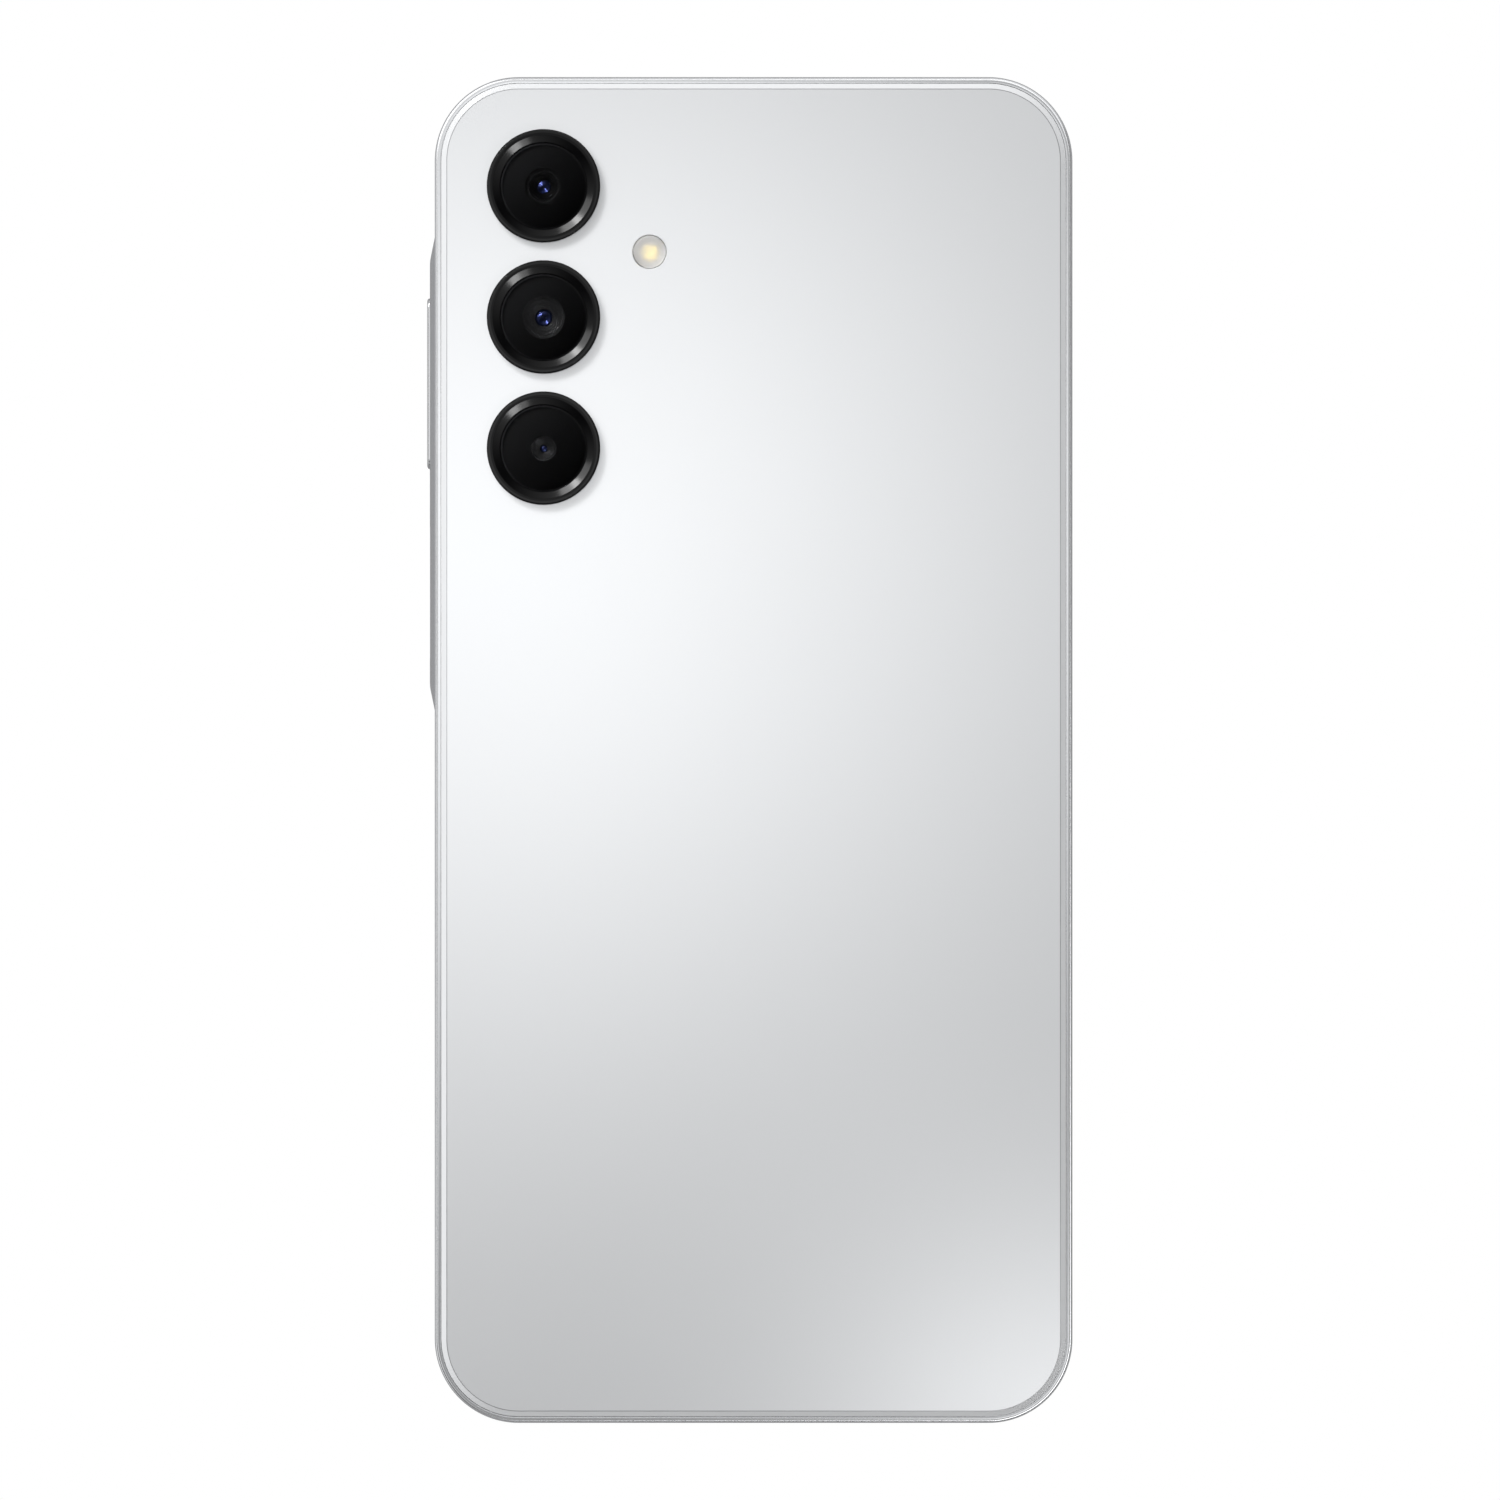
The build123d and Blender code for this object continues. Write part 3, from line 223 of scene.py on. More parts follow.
def plain(name, colour, rough, grain_scale=4000, grain_height=0.004 * MM, **sockets):
    """A surface of one colour with a fine grain and cloudy variation of its tone and roughness."""
    mat = make_material(name, **sockets)
    graph = Graph(mat)
    grain = graph.noise(grain_scale, 4.0)
    cloud = graph.noise(grain_scale / CLOUD_RATIO, 3.0)
    both = graph.maths("MULTIPLY", graph.maths("ADD", grain, cloud), 0.5)
    graph.drive(graph.spread(both, *rough), "Roughness")
    graph.bump(grain, grain_height)
    low = rgb(*(c * (1 - TONE_SPREAD) for c in colour))
    high = rgb(*(min(1.0, c * (1 + TONE_SPREAD)) for c in colour))
    graph.tint(cloud, low, high)
    return mat


# ---- Materials for the faces that show -------------------------------------------------------------
def silver_panel():
    """Glossy clear coat over a pearly silver film with a very fine flake."""
    mat = make_material("silver_panel", Metallic=0.5, Coat_Weight=1.0, Coat_Roughness=0.03, Coat_IOR=1.4)
    graph = Graph(mat)
    flake = graph.cells(22000)
    haze = graph.noise(60, 2.0)
    graph.tint(flake, rgb(0.82, 0.83, 0.845), rgb(0.79, 0.80, 0.815), 0.0, 1.0)
    graph.drive(graph.spread(haze, 0.11, 0.13), "Roughness")
    graph.bump(graph.noise(9000, 2.0), 0.0008 * MM)
    return mat


def silver_plastic(name="silver_plastic", rough=(0.11, 0.14), tone=1.0):
    """Lacquered silver plastic with a slight orange peel, for the side frame, keys and tray."""
    mat = make_material(name, Metallic=0.8, Coat_Weight=0.5, Coat_Roughness=0.04)
    graph = Graph(mat)
    flake = graph.cells(16000)
    pale = rgb(*(tone * c for c in (0.84, 0.85, 0.865)))
    deep = rgb(*(tone * c for c in (0.78, 0.79, 0.81)))
    graph.tint(flake, pale, deep, 0.0, 1.0)
    graph.drive(graph.spread(graph.noise(900, 4.0), *rough), "Roughness")
    graph.bump(graph.noise(3500, 3.0), 0.002 * MM)
    return mat


POLISHED_FROM = 6.44 * MM
POLISHED_TO = 6.56 * MM


def black_ring_metal():
    """Black anodised metal with turning marks that run round the ring, shinier towards its outer edge."""
    mat = make_material("black_ring_metal", Anisotropic=0.3)
    graph = Graph(mat)
    tangent = graph.node("ShaderNodeTangent", direction_type="RADIAL", axis="Z")
    graph.drive(tangent.outputs[0], "Tangent")
    reach = graph.nearest_lens()[2]
    tone = graph.noise(3000, 2.0)
    graph.tint(tone, rgb(0.0022, 0.0022, 0.0024), rgb(0.003, 0.003, 0.0033))
    graph.drive(graph.spread(reach, 0.17, 0.38, POLISHED_FROM, POLISHED_TO), "Specular IOR Level")
    graph.drive(graph.spread(graph.noise(5000, 3.0), 0.15, 0.165), "Roughness")
    graph.bump(graph.noise(12000, 2.0), 0.0002 * MM)
    return mat


def coated_window():
    """Clear hard glass with an anti-reflection coat."""
    mat = make_material("camera_window", Transmission_Weight=1.0, IOR=1.06, Base_Color=rgb(0.97, 0.98, 1.0))
    graph = Graph(mat)
    graph.drive(graph.spread(graph.noise(700, 2.0), 0.0, 0.01), "Roughness")
    graph.let_lamps_through()
    return mat


INK_CROWN = -8.0
# How far the painted reflection on the black ink fades, and the ring of its painted edge highlight.
PAINTED_REFLECTION_FADE = 6.4 * MM
PAINTED_EDGE_HIGHLIGHT = (5.0 * MM, 5.05 * MM)


def black_ink():
    """Slightly crowned satin black print behind the windows, paler by painted reflection to one side and a
    painted highlight at its edge.
    """
    mat = make_material("black_ink", Specular_IOR_Level=0.1)
    graph = Graph(mat)
    across, along, reach = graph.nearest_lens()
    graph.bump(graph.maths("MULTIPLY", graph.maths("MULTIPLY", reach, reach), INK_CROWN), 1.0)
    grain = graph.noise(9000, 3.0)
    uneven = graph.spread(grain, -0.3 * MM, 0.3 * MM)
    # Painted reflection: the ink is paler towards one side. Painted highlight: it is paler along its outer
    # edge.
    pale = graph.maths("ADD", graph.maths("SUBTRACT", along, across), uneven)
    pale = graph.spread(pale, 0.0, 0.7, -PAINTED_REFLECTION_FADE, PAINTED_REFLECTION_FADE)
    pale = graph.maths("ADD", pale, graph.spread(reach, 0.0, 0.3, *PAINTED_EDGE_HIGHLIGHT))
    tone = graph.colours(
        pale,
        (0.0, rgb(0.0004, 0.0004, 0.0005)), (0.35, rgb(0.005, 0.005, 0.0053)),
        (0.7, rgb(0.014, 0.014, 0.0147)), (1.0, rgb(0.08, 0.08, 0.084)),
    )
    graph.drive(tone, "Base Color")
    graph.drive(graph.spread(grain, 0.3, 0.36), "Roughness")
    return mat


def lens_glass():
    """Lens glass under a coating that reflects blue and violet."""
    mat = make_material("lens_glass", IOR=1.7, Specular_Tint=rgb(0.16, 0.2, 0.62))
    graph = Graph(mat)
    tone = graph.noise(900, 2.0)
    graph.tint(tone, rgb(0.0015, 0.002, 0.006), rgb(0.002, 0.003, 0.009))
    graph.drive(graph.spread(tone, 0.052, 0.064), "Roughness")
    return mat


def camera_black(name="camera_black", tone=0.0035, shine=0.12):
    """Satin black moulding of the camera barrels."""
    mat = make_material(name, Specular_IOR_Level=shine)
    graph = Graph(mat)
    grain = graph.noise(7000, 3.0)
    low, high = tone * 0.88, tone * 1.12
    graph.tint(grain, rgb(low, low, low * 1.03), rgb(high, high, high * 1.03))
    graph.drive(graph.spread(grain, 0.45, 0.6), "Roughness")
    graph.bump(grain, 0.006 * MM)
    return mat


GROOVE_PITCH = 0.07 * MM


def flash_window():
    """Frosted clear plastic with round lens grooves over the light."""
    mat = make_material("flash_window", Transmission_Weight=0.7, IOR=1.2, Base_Color=rgb(0.93, 0.93, 0.935))
    graph = Graph(mat)
    x, y, _ = graph.axes()
    reach = graph.distance(graph.maths("SUBTRACT", x, FLASH.x), graph.maths("SUBTRACT", y, FLASH.y))
    graph.bump(graph.maths("PINGPONG", reach, GROOVE_PITCH), 0.05)
    graph.drive(graph.spread(graph.noise(4000, 3.0), 0.38, 0.42), "Roughness")
    graph.let_lamps_through()
    return mat


WIRE_PITCH = 0.16 * MM


def woven_mesh():
    """Fine black wire cloth: two sets of wires at right angles."""
    mat = make_material("fine_mesh", Metallic=0.8)
    graph = Graph(mat)
    x, y, z = graph.axes()
    weft = graph.maths("PINGPONG", x, WIRE_PITCH)
    warp = graph.maths("PINGPONG", graph.maths("ADD", y, z), WIRE_PITCH)
    wires = graph.maths("DIVIDE", graph.maths("MAXIMUM", weft, warp), WIRE_PITCH)
    graph.tint(wires, rgb(0.004, 0.004, 0.004), rgb(0.07, 0.07, 0.075), 0.35, 0.75)
    graph.drive(graph.spread(graph.noise(6000), 0.35, 0.5), "Roughness")
    graph.bump(wires, 0.06 * MM)
    return mat


BORDER = 1.6 * MM
BORDER_SHARPNESS = 20000


def front_glass():
    """Display glass, near black when the display is off, with a deeper black printed border."""
    mat = make_material("front_glass", Coat_Weight=1.0, Coat_Roughness=0.01)
    graph = Graph(mat)
    x, y, _ = graph.axes()
    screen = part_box("display_panel")[1]
    inside_x = graph.maths("SUBTRACT", screen.x - BORDER, graph.maths("ABSOLUTE", x))
    inside_y = graph.maths("SUBTRACT", screen.y - BORDER, graph.maths("ABSOLUTE", y))
    inside = graph.maths("MULTIPLY", graph.maths("MINIMUM", inside_x, inside_y), BORDER_SHARPNESS)
    graph.tint(inside, rgb(0.0015, 0.0015, 0.0018), rgb(0.0055, 0.0055, 0.0065), 0.0, 1.0)
    graph.drive(graph.spread(graph.noise(500), 0.02, 0.045), "Roughness")
    return mat


def circuit_board():
    """Green solder mask over a pattern of copper tracks and small pads."""
    mat = make_material("circuit_board", Coat_Weight=0.4, Coat_Roughness=0.2)
    graph = Graph(mat)
    tracks = graph.cells(900, graph.stretched((1.0, 0.25, 1.0)), feature="DISTANCE_TO_EDGE")
    pads = graph.cells(700)
    tracks = graph.spread(tracks, 1.0, 0.0, 0.03, 0.06)
    pads = graph.spread(pads, 1.0, 0.0, 0.12, 0.16)
    raised = graph.maths("MAXIMUM", tracks, pads)
    graph.tint(raised, rgb(0.006, 0.035, 0.024), rgb(0.02, 0.11, 0.06), 0.0, 1.0)
    graph.drive(graph.spread(graph.noise(3000), 0.3, 0.42), "Roughness")
    graph.bump(raised, 0.02 * MM)
    return mat


def battery_pouch():
    """Dark foil pouch with soft wrinkles and a fine embossed grain."""
    mat = make_material("battery_pouch", Metallic=0.3)
    graph = Graph(mat)
    graph.bump(graph.noise(60, 4.0, vector=graph.stretched((1.0, 0.4, 1.0))), 0.2 * MM)
    grain = graph.noise(6000, 3.0)
    graph.bump(grain, 0.006 * MM)
    graph.tint(grain, rgb(0.045, 0.045, 0.05), rgb(0.06, 0.06, 0.066))
    graph.drive(graph.spread(graph.noise(300), 0.3, 0.45), "Roughness")
    return mat


MATERIALS = {
    "silver_plastic": silver_plastic(),
    "silver_panel": silver_panel(),
    "front_glass": front_glass(),
    "display": plain("display", (0.008, 0.008, 0.01), (0.1, 0.14)),
    "black_tape": plain("black_tape", (0.02, 0.02, 0.021), (0.7, 0.85), 6000, 0.02 * MM),
    "fine_mesh": woven_mesh(),
    "flex_circuit": plain("flex_circuit", (0.18, 0.085, 0.02), (0.25, 0.35)),
    "plate_alloy": plain("plate_alloy", (0.5, 0.51, 0.53), (0.4, 0.55), 7000, 0.008 * MM, Metallic=1.0),
    "copper_coil": plain("copper_coil", (0.75, 0.35, 0.2), (0.25, 0.4), Metallic=1.0),
    "black_ring_metal": black_ring_metal(),
    "camera_window": coated_window(),
    "black_ink": black_ink(),
    "camera_black": camera_black(),
    "lens_glass": lens_glass(),
    "flash_window": flash_window(),
    "flash_phosphor": plain("flash_phosphor", (0.98, 0.72, 0.03), (0.5, 0.6), 9000, 0.02 * MM),
    "circuit_board": circuit_board(),
    "shield_steel": plain("shield_steel", (0.55, 0.55, 0.54), (0.3, 0.45), Metallic=1.0),
    "spring_steel": plain("spring_steel", (0.6, 0.6, 0.6), (0.2, 0.3), Metallic=1.0),
    "chip_black": plain("chip_black", (0.025, 0.025, 0.027), (0.5, 0.6)),
    "connector_plastic": plain("connector_plastic", (0.2, 0.19, 0.17), (0.45, 0.6)),
    "sensor_metal": plain("sensor_metal", (0.85, 0.6, 0.25), (0.25, 0.35), Metallic=1.0),
    "black_plastic": plain("black_plastic", (0.02, 0.02, 0.022), (0.45, 0.6), 4500, 0.01 * MM),
    "screw_steel": plain("screw_steel", (0.2, 0.2, 0.21), (0.3, 0.4), Metallic=1.0),
    "battery_pouch": battery_pouch(),
    "cable_sleeve": plain("cable_sleeve", (0.02, 0.02, 0.02), (0.35, 0.5)),
    "rotor_alloy": plain("rotor_alloy", (0.4, 0.4, 0.42), (0.35, 0.45), Metallic=1.0),
    "diaphragm_film": plain("diaphragm_film", (0.08, 0.08, 0.085), (0.4, 0.5)),
    "sensor_face": silver_plastic("sensor_face", (0.12, 0.17)),
    "seal_rubber": plain("seal_rubber", (0.25, 0.25, 0.26), (0.6, 0.75)),
}
for part in frame["record"]["subparts"]:
    obj = nodes[part["node"]]
    obj.data.materials.clear()
    obj.data.materials.append(MATERIALS[part["material_slot"]])


# ---- Turned and swept pieces -----------------------------------------------------------------------
BLEND_STEPS = 5
CREASE = math.radians(40)


def softened(section):
    """A section's corners, each (radius, z, blend length) in millimetres, as smooth curves."""
    points = []
    for n, (radius, z, blend) in enumerate(section):
        corner = Vector((radius, z))
        if blend == 0:
            points.append(corner)
            continue
        before = Vector(section[n - 1][:2])
        after = Vector(section[(n + 1) % len(section)][:2])
        start = corner + (before - corner).normalized() * blend
        stop = corner + (after - corner).normalized() * blend
        for k in range(BLEND_STEPS + 1):
            t = k / BLEND_STEPS
            points.append(start * (1 - t) ** 2 + corner * 2 * t * (1 - t) + stop * t**2)
    return points


def piece(name, verts, faces, slot, body, replaced, finish):
    """A piece that rides a body; finish is its material if it isn't the slot's own."""
    mesh = bpy.data.meshes.new(name)
    mesh.from_pydata(verts, [], faces)
    shape = bmesh.new()
    shape.from_mesh(mesh)
    bmesh.ops.recalc_face_normals(shape, faces=shape.faces)
    shape.to_mesh(mesh)
    shape.free()
    mesh.shade_smooth()
    mesh.set_sharp_from_angle(angle=CREASE)
    mesh.materials.append(finish or MATERIALS[slot])
    made = bpy.data.objects.new(name, mesh)
    scene.collection.objects.link(made)
    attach(made, body)
    if replaced:
        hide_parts(*replaced)
    return made


def turned(name, centre, section, slot, body="root", replaced=(), steps=160, finish=None):
    """A piece turned on a lathe about an upright axis: section is closed, in millimetres, for softened()."""
    verts, rows = [], []
    for radius, z in softened(section):
        count = steps if radius > 0 else 1
        rows.append(range(len(verts), len(verts) + count))
        for n in range(count):
            angle = 2 * math.pi * n / steps
            x = centre.x + radius * MM * math.cos(angle)
            y = centre.y + radius * MM * math.sin(angle)
            verts.append((x, y, z * MM))
    faces = []
    for row, after in zip(rows, rows[1:] + rows[:1]):
        for n in range(steps):
            near = (row[n % len(row)], row[(n + 1) % len(row)])
            far = (after[(n + 1) % len(after)], after[n % len(after)])
            face = tuple(dict.fromkeys(near + far))
            if len(face) > 2:
                faces.append(face)
    return piece(name, verts, faces, slot, body, replaced, finish)


BODY_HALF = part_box("side_frame")[1] / MM
CORNER_RADIUS = 10.25
CORNER_STEPS = 32
STRAIGHT_SUPPORT = 0.3


def outline(inset):
    """The body's outline, moved inwards, in millimetres; support points keep the straight runs flat."""
    radius = CORNER_RADIUS - inset
    reach_x = BODY_HALF.x - CORNER_RADIUS
    reach_y = BODY_HALF.y - CORNER_RADIUS
    points = []
    for quarter, (side_x, side_y) in enumerate([(1, 1), (-1, 1), (-1, -1), (1, -1)]):
        centre = Vector((side_x * reach_x, side_y * reach_y))
        arc = [math.radians(90 * (quarter + n / CORNER_STEPS)) for n in range(CORNER_STEPS + 1)]
        corner = [centre + Vector((math.cos(a), math.sin(a))) * radius for a in arc]
        start = Vector((math.sin(arc[0]), -math.cos(arc[0]))) * STRAIGHT_SUPPORT
        stop = Vector((-math.sin(arc[-1]), math.cos(arc[-1]))) * STRAIGHT_SUPPORT
        points += [corner[0] + start, *corner, corner[-1] + stop]
    return points


def swept(name, section, slot, finish):
    """A closed section of (inset, z), in millimetres, carried round the body's outline."""
    loops = [outline(inset) for inset, _ in section]
    count = len(loops[0])
    verts = [(p.x * MM, p.y * MM, z * MM) for loop, (_, z) in zip(loops, section) for p in loop]
    faces = []
    for row in range(len(section)):
        after = (row + 1) % len(section)
        for n in range(count):
            beside = (n + 1) % count
            faces.append((row * count + n, row * count + beside, after * count + beside, after * count + n))
    return piece(name, verts, faces, slot, "root", (), finish)


# Rim: the polished rear edge of the side frame, from its rounded outside to the lip round the panel.
EDGE_INSET, EDGE_Z = 0.45, 7.35
EDGE_RADIUS = 0.456
EDGE_SWEEP = 78
EDGE_STEPS = 12
rim = []
for n in range(EDGE_STEPS + 1):
    angle = math.radians(EDGE_SWEEP * (1 - n / EDGE_STEPS))
    rim.append((EDGE_INSET - EDGE_RADIUS * math.sin(angle), EDGE_Z + EDGE_RADIUS * math.cos(angle)))
rim += [
    (0.5, 7.806), (0.7, 7.806), (0.735, 7.8), (0.75, 7.78),
    (0.75, 7.74), (0.5, 7.74), (0.3, 7.7), (0.1, 7.5),
]
rim_piece = swept("rim", rim, "silver_plastic", silver_plastic("polished_edge", tone=1.14))

# Crease line: a thin darker strip where the panel's flat meets its bevel, painted shade along the crease.
CREASE_SHADE_SECTION = [(1.44, 7.89), (1.44, 7.902), (1.54, 7.902), (1.54, 7.89)]
crease_painted_shade = plain("crease_painted_shade", (0.5, 0.505, 0.515), (0.12, 0.16), Metallic=0.6)
swept("crease_shade_line", CREASE_SHADE_SECTION, "silver_panel", crease_painted_shade)

# Lens rings: a neck through the panel, a wall, a chamfer, a flat crest and a bevel down to the window.
RING_SECTION = [
    (5.23, 8.0, 0), (4.6, 8.0, 0), (4.6, 6.9, 0), (6.05, 6.9, 0), (6.05, 7.9, 0), (6.92, 7.9, 0.03),
    (6.92, 8.82, 0.03), (6.72, 9.0, 0.015), (6.5, 9.0, 0), (6.3, 9.0, 0), (6.2, 9.0, 0.02), (6.12, 8.964, 0),
    (5.43, 8.654, 0), (5.36, 8.62, 0.015), (5.31, 8.56, 0.01), (5.23, 8.3, 0),
]
for place, centre in LENS.items():
    covered = [f"lens_ring_{place}"]
    turned(f"ring_{place}", centre, RING_SECTION, "black_ring_metal", replaced=covered, steps=240)

# Baffles: the stepped cones seen round each lens through its window.
turned("baffle_upper", LENS["upper"], [
    (2.62, 7.53, 0), (2.35, 7.62, 0.12), (1.8, 7.62, 0.16), (1.68, 7.44, 0.06), (1.72, 7.38, 0),
], "camera_black", finish=camera_black("baffle_black", 0.002, 0.06))
# The throat is a darker copy of the barrel black: painted shade of its deep recess.
turned("throat_upper", LENS["upper"], [
    (1.75, 7.42, 0.02), (1.62, 7.36, 0.05), (1.5, 7.34, 0.05), (1.28, 7.16, 0.05), (1.18, 7.15, 0.04),
    (0.92, 7.0, 0.04), (0.86, 6.95, 0.02), (0.9, 6.94, 0), (1.12, 7.02, 0), (1.7, 7.34, 0),
], "camera_black", finish=camera_black("throat_black_painted_shade", 0.0008, 0.03))
turned("baffle_middle", LENS["middle"], [
    (2.88, 7.37, 0.02), (2.2, 7.24, 0.02), (2.17, 7.21, 0.02), (1.72, 7.1, 0.02), (1.7, 7.06, 0.02),
    (1.36, 6.95, 0.02), (1.34, 6.86, 0.02), (1.1, 6.78, 0.03), (1.05, 6.7, 0.02), (1.12, 6.7, 0),
    (1.38, 6.77, 0),
], "camera_black", body="focus_barrel")
turned("baffle_lower", LENS["lower"], [
    (2.0, 7.53, 0), (1.68, 7.58, 0.05), (1.47, 7.58, 0.05), (1.44, 7.38, 0.02), (1.36, 7.36, 0.02),
    (1.31, 7.36, 0.03), (0.53, 7.05, 0.05), (0.44, 6.98, 0.03), (0.45, 6.95, 0), (0.62, 7.01, 0),
    (1.9, 7.5, 0),
], "camera_black")

# Front lenses: aspheric tops, each a shallow cone with steeper zones towards its edge.
turned("glass_upper", LENS["upper"], [
    (0, 7.1, 0), (0.04, 7.092, 0.02), (0.24, 7.025, 0.03), (0.76, 6.791, 0.03), (1.0, 6.658, 0.02),
    (1.0, 6.6, 0), (0, 6.6, 0),
], "lens_glass", replaced=["fixed_lenses"])
turned("glass_middle", LENS["middle"], [
    (0, 6.9, 0), (0.05, 6.89, 0.03), (0.45, 6.756, 0.04), (0.85, 6.576, 0.04), (1.25, 6.354, 0.02),
    (1.25, 6.25, 0), (0, 6.25, 0),
], "lens_glass", body="focus_barrel", replaced=["main_lens"])
turned("glass_lower", LENS["lower"], [
    (0, 6.95, 0), (0.04, 6.94, 0.02), (0.14, 6.908, 0.03), (0.42, 6.782, 0.02), (0.5, 6.74, 0.01),
    (0.5, 6.65, 0), (0, 6.65, 0),
], "lens_glass")

# Flash: a frosted window over a white reflector cup and the yellow light, with a grey ring of painted shade
# round it.
reflector_white = plain("reflector_white", (0.55, 0.55, 0.55), (0.3, 0.4), 5000)
gap_painted_shade = plain("flash_gap_painted_shade", (0.12, 0.12, 0.122), (0.3, 0.4), 5000)
turned("flash_frosted", FLASH, [
    (0, 7.89, 0), (1.94, 7.89, 0.04), (2.0, 7.83, 0.04), (2.0, 7.08, 0), (2.6, 7.08, 0), (2.6, 6.75, 0),
    (1.7, 6.75, 0.1), (1.1, 7.3, 0.3), (0, 7.42, 0),
], "flash_window", replaced=["flash_lens"])
turned("flash_cup", FLASH, [
    (2.45, 6.72, 0.04), (2.25, 6.72, 0.1), (1.35, 5.85, 0.1), (1.35, 5.81, 0), (2.45, 5.81, 0),
], "flash_phosphor", finish=reflector_white)
# A flat grey ring on the surface: painted shade of the gap round the flash window.
turned("flash_gap_shade_ring", FLASH, [
    (2.0, 7.89, 0), (2.0, 7.901, 0), (2.07, 7.901, 0), (2.07, 7.89, 0),
], "silver_panel", finish=gap_painted_shade)


# ---- Camera ----------------------------------------------------------------------------------------
VIEW_WIDTH = 183.15 * MM
LENS_LENGTH = 200.0
SENSOR = 36.0
VIEW_SHIFT_X = -0.44 * MM
CAMERA_HEIGHT = VIEW_WIDTH * LENS_LENGTH / SENSOR
camera_data = bpy.data.cameras.new("camera")
camera_data.lens = LENS_LENGTH
camera_data.sensor_width = SENSOR
camera = bpy.data.objects.new("camera", camera_data)
camera.location = (VIEW_SHIFT_X, 0, panel_top + CAMERA_HEIGHT)
scene.collection.objects.link(camera)
scene.camera = camera


# ---- Floor: white to the camera, grey to the rest of the scene and clear from below ------------------
def plane(name, half_x, half_y, location):
    mesh = bpy.data.meshes.new(name)
    corners = [(-half_x, -half_y, 0), (half_x, -half_y, 0), (half_x, half_y, 0), (-half_x, half_y, 0)]
    mesh.from_pydata(corners, [], [(0, 1, 2, 3)])
    made = bpy.data.objects.new(name, mesh)
    made.location = location
    scene.collection.objects.link(made)
    return made


FLOOR_HALF = 6.0
FLOOR_GAP = 0.02 * MM
floor = plane("floor", FLOOR_HALF, FLOOR_HALF, (0, 0, -FLOOR_GAP))
floor_mat = make_material("floor", Roughness=0.9, Specular_IOR_Level=0.0)
graph = Graph(floor_mat)
path = graph.node("ShaderNodeLightPath")
seen = graph.colours(path.outputs["Is Camera Ray"], (0.0, rgb(0.3, 0.3, 0.305)), (1.0, rgb(0, 0, 0)))
graph.drive(seen, "Base Color")
graph.bsdf.inputs["Emission Color"].default_value = rgb(1, 1, 1)
graph.drive(path.outputs["Is Camera Ray"], "Emission Strength")
side = graph.node("ShaderNodeNewGeometry")
below = graph.node("ShaderNodeBsdfTransparent")
mix = graph.node("ShaderNodeMixShader")
graph.link(side.outputs["Backfacing"], mix.inputs["Fac"])
graph.link(graph.bsdf.outputs[0], mix.inputs[1])
graph.link(below.outputs[0], mix.inputs[2])
graph.link(mix.outputs[0], floor_mat.node_tree.nodes["Material Output"].inputs["Surface"])
floor.data.materials.append(floor_mat)

# ---- Soft card over the phone: what the glossy panel reflects ---------------------------------------
CARD_HALF = (0.075, 0.135)
CARD_HEIGHT = 0.35
CARD_SCALE = 1 + CARD_HEIGHT / CAMERA_HEIGHT
CARD_GAIN = 1.75
CARD_BASE = 0.01
card = plane("card", *CARD_HALF, (0, 0, panel_top + CARD_HEIGHT))
card.visible_camera = False
card.visible_shadow = False
card_mat = make_material("card")
graph = Graph(card_mat)
x, y, _ = graph.axes()
# From here x and y are millimetres on the panel, where the camera sees this point of the card reflected.
x = graph.maths("DIVIDE", x, CARD_SCALE * MM)
y = graph.maths("DIVIDE", y, CARD_SCALE * MM)
key_side = graph.maths("MULTIPLY", graph.hill(x, y, (-34, 26), 52, 49), 0.68)
far_corner = graph.maths("MULTIPLY", graph.hill(x, y, (40, -88), 21, 21), 0.6)
glow = graph.maths("ADD", graph.maths("ADD", key_side, far_corner), CARD_BASE)
emission = graph.node("ShaderNodeEmission")
emission.inputs["Color"].default_value = rgb(0.992, 0.997, 1.0)
graph.link(graph.maths("MULTIPLY", glow, CARD_GAIN), emission.inputs["Strength"])
graph.link(emission.outputs[0], card_mat.node_tree.nodes["Material Output"].inputs["Surface"])
card.data.materials.append(card_mat)

# ---- Room: brighter on the key side; half way up, bright only towards and away from the key ----------
KEY_SIDE = (-0.6, 0.8)
SIDE_TONES = [(0.0, 0.1), (0.28, 0.22), (0.38, 0.26), (0.5, 0.55), (0.62, 0.8), (0.8, 0.85), (1.0, 0.45)]
OPEN_SKY_TONES = [(0.42, 1), (0.52, 0), (0.83, 0), (0.88, 1)]
BAND_TONES = [(0.55, 0), (0.59, 1), (0.72, 1), (0.76, 0)]
ECHO_GAIN = 3.0
world = bpy.data.worlds.new("studio")
world.use_nodes = True
scene.world = world
graph = Graph(world, "Generated")
x, y, z = graph.axes()
facing = graph.maths("MULTIPLY_ADD", x, KEY_SIDE[0], graph.maths("MULTIPLY", y, KEY_SIDE[1]))
side = graph.greys(graph.spread(facing, 0.0, 1.0, -1.0, 1.0), SIDE_TONES)
open_sky = graph.greys(z, OPEN_SKY_TONES)
band = graph.greys(z, BAND_TONES)
echo = graph.maths("MULTIPLY", graph.maths("MULTIPLY", facing, facing), ECHO_GAIN)
shade = graph.maths("MULTIPLY_ADD", echo, band, graph.maths("MULTIPLY", side, open_sky))
background = world.node_tree.nodes["Background"]
background.inputs["Color"].default_value = rgb(1, 1, 1)
graph.link(shade, background.inputs["Strength"])

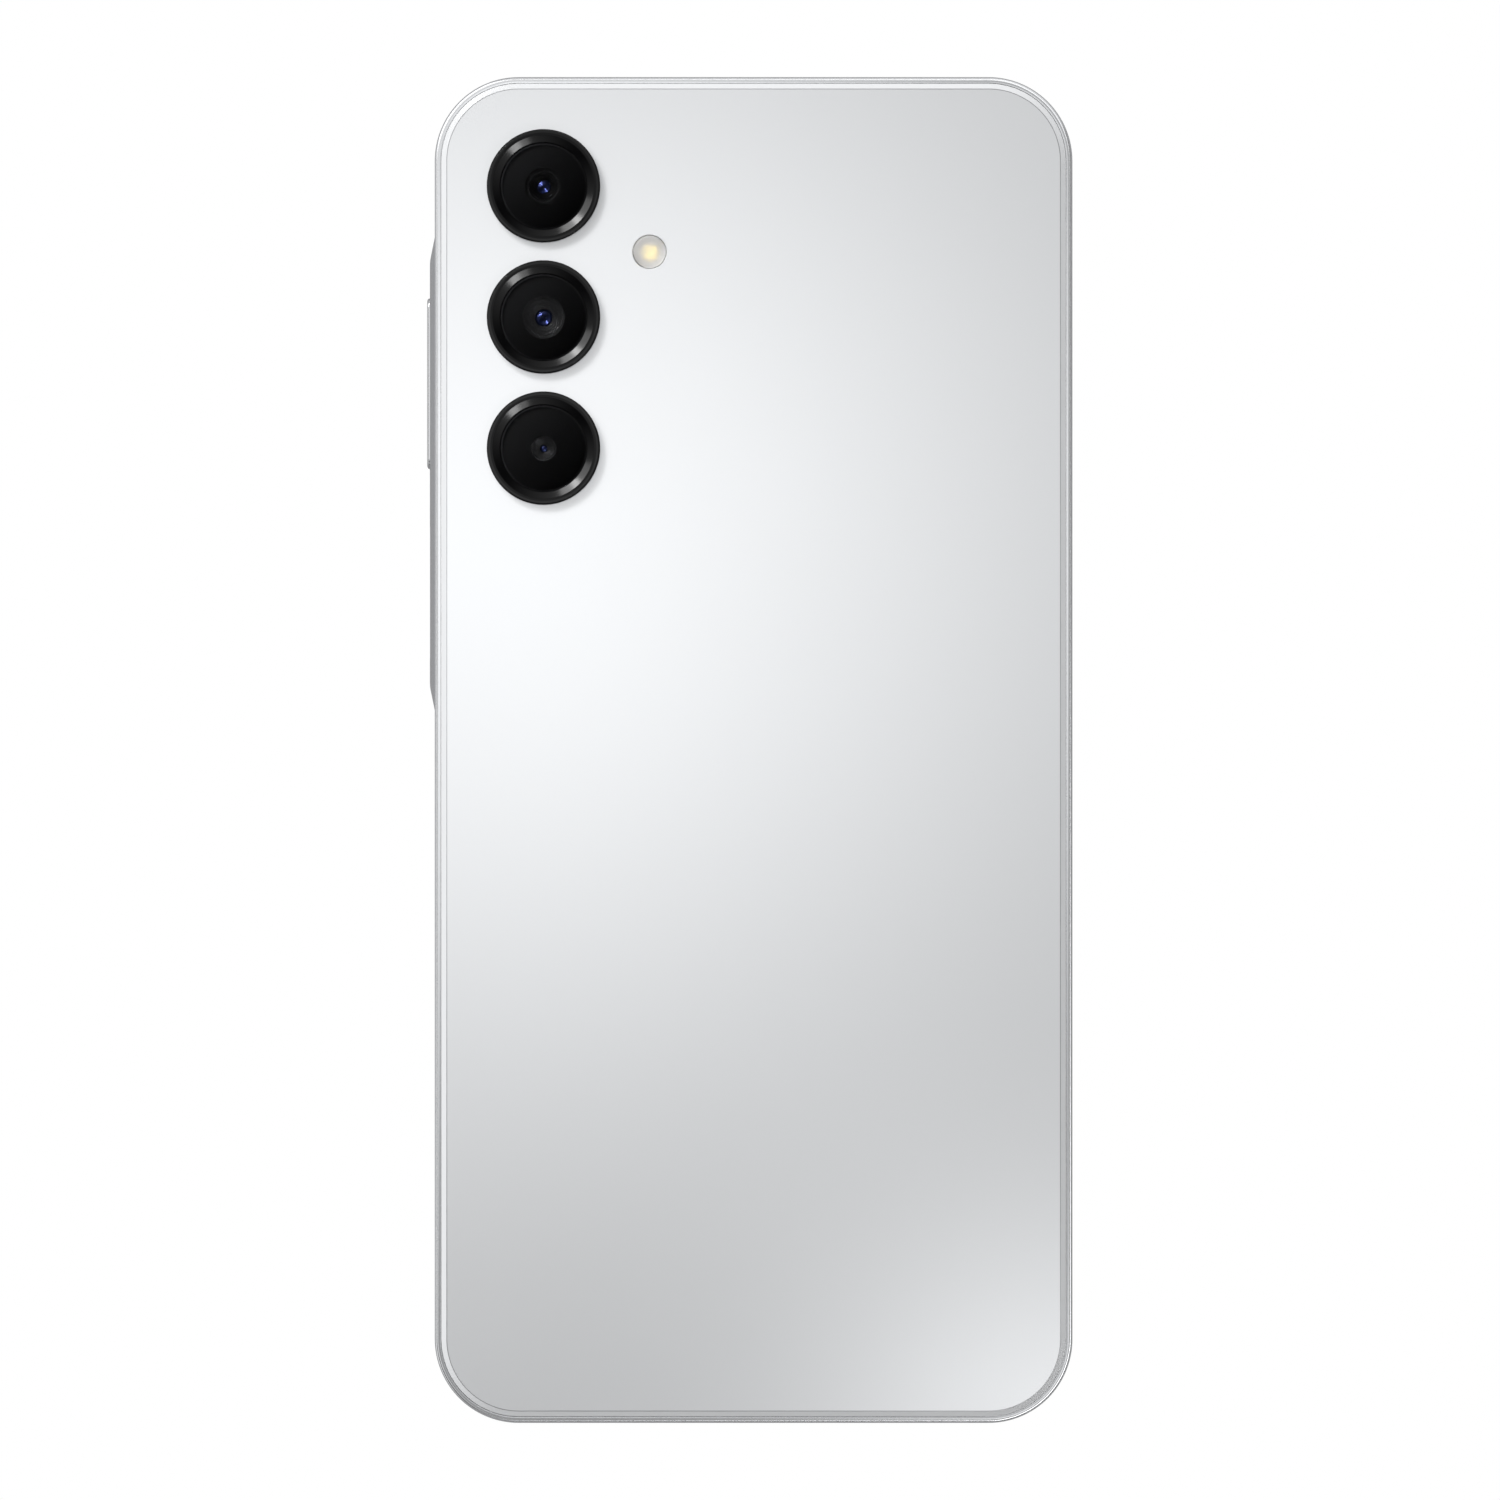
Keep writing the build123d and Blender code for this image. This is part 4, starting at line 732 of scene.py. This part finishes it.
# The camera itself sees plain white in place of the room.
backdrop = graph.node("ShaderNodeBackground")
backdrop.inputs["Color"].default_value = rgb(1, 1, 1)
path = graph.node("ShaderNodeLightPath")
mix = graph.node("ShaderNodeMixShader")
graph.link(path.outputs["Is Camera Ray"], mix.inputs["Fac"])
graph.link(background.outputs[0], mix.inputs[1])
graph.link(backdrop.outputs[0], mix.inputs[2])
graph.link(mix.outputs[0], world.node_tree.nodes["World Output"].inputs["Surface"])


# ---- Soft boxes ------------------------------------------------------------------------------------
def light_group(name, link_state, *objects):
    """A light-linking group: its lights reach only these objects (INCLUDE) or all but these (EXCLUDE)."""
    group = bpy.data.collections.new(name)
    for obj in objects:
        group.objects.link(obj)
    for item in group.collection_objects:
        item.light_linking.link_state = link_state
    return group


BOX_DISTANCE = 2.0


def soft_box(name, azimuths, zeniths, radiance, receivers):
    """A far rectangular light that faces the lenses and fills the given angles, in degrees."""
    azimuth = math.radians(sum(azimuths) / 2)
    zenith = math.radians(sum(zeniths) / 2)
    across = math.sin(zenith)
    towards = Vector((across * math.cos(azimuth), across * math.sin(azimuth), math.cos(zenith)))
    data = bpy.data.lights.new(name, "AREA")
    data.shape = "RECTANGLE"
    data.size = BOX_DISTANCE * across * math.radians(azimuths[1] - azimuths[0])
    data.size_y = BOX_DISTANCE * math.radians(zeniths[1] - zeniths[0])
    data.energy = radiance * math.pi * data.size * data.size_y
    light = bpy.data.objects.new(name, data)
    light.location = LENS["middle"] + towards * BOX_DISTANCE
    light.rotation_mode = "QUATERNION"
    light.rotation_quaternion = (-towards).to_track_quat("-Z", "Y")
    light.visible_camera = False
    light.light_linking.receiver_collection = receivers
    scene.collection.objects.link(light)


# The narrow lights are for the lens rings. They leave out the side frame, and the rim lights leave out the
# rear panel too: the frame's edge and the panel have broader and weaker lights of their own.
edge = (nodes["side_frame"], rim_piece)
all_but_edge = light_group("all_but_edge", "EXCLUDE", *edge)
all_but_back = light_group("all_but_back", "EXCLUDE", nodes["rear_panel"], *edge)
edge_only = light_group("edge_only", "INCLUDE", *edge)
panel_only = light_group("panel_only", "INCLUDE", nodes["rear_panel"])

soft_box("key", (128, 137), (46, 57), 44, all_but_edge)
soft_box("key_tail", (112, 128), (46, 57), 14, all_but_edge)
soft_box("key_wing", (137, 160), (46, 57), 6, all_but_edge)
soft_box("key_panel", (100, 160), (30, 62), 5.4, panel_only)
soft_box("key_edge", (100, 170), (25, 85), 0.8, edge_only)
soft_box("corner_edge", (20, 90), (20, 60), 0.8, edge_only)
soft_box("rim", (-59, -44), (41, 49), 25, all_but_back)
soft_box("rim_tail", (-72, -59), (41, 49), 7.5, all_but_back)
soft_box("rim_edge", (-95, 5), (36, 54), 1.5, edge_only)

scene.view_settings.view_transform = "Standard"
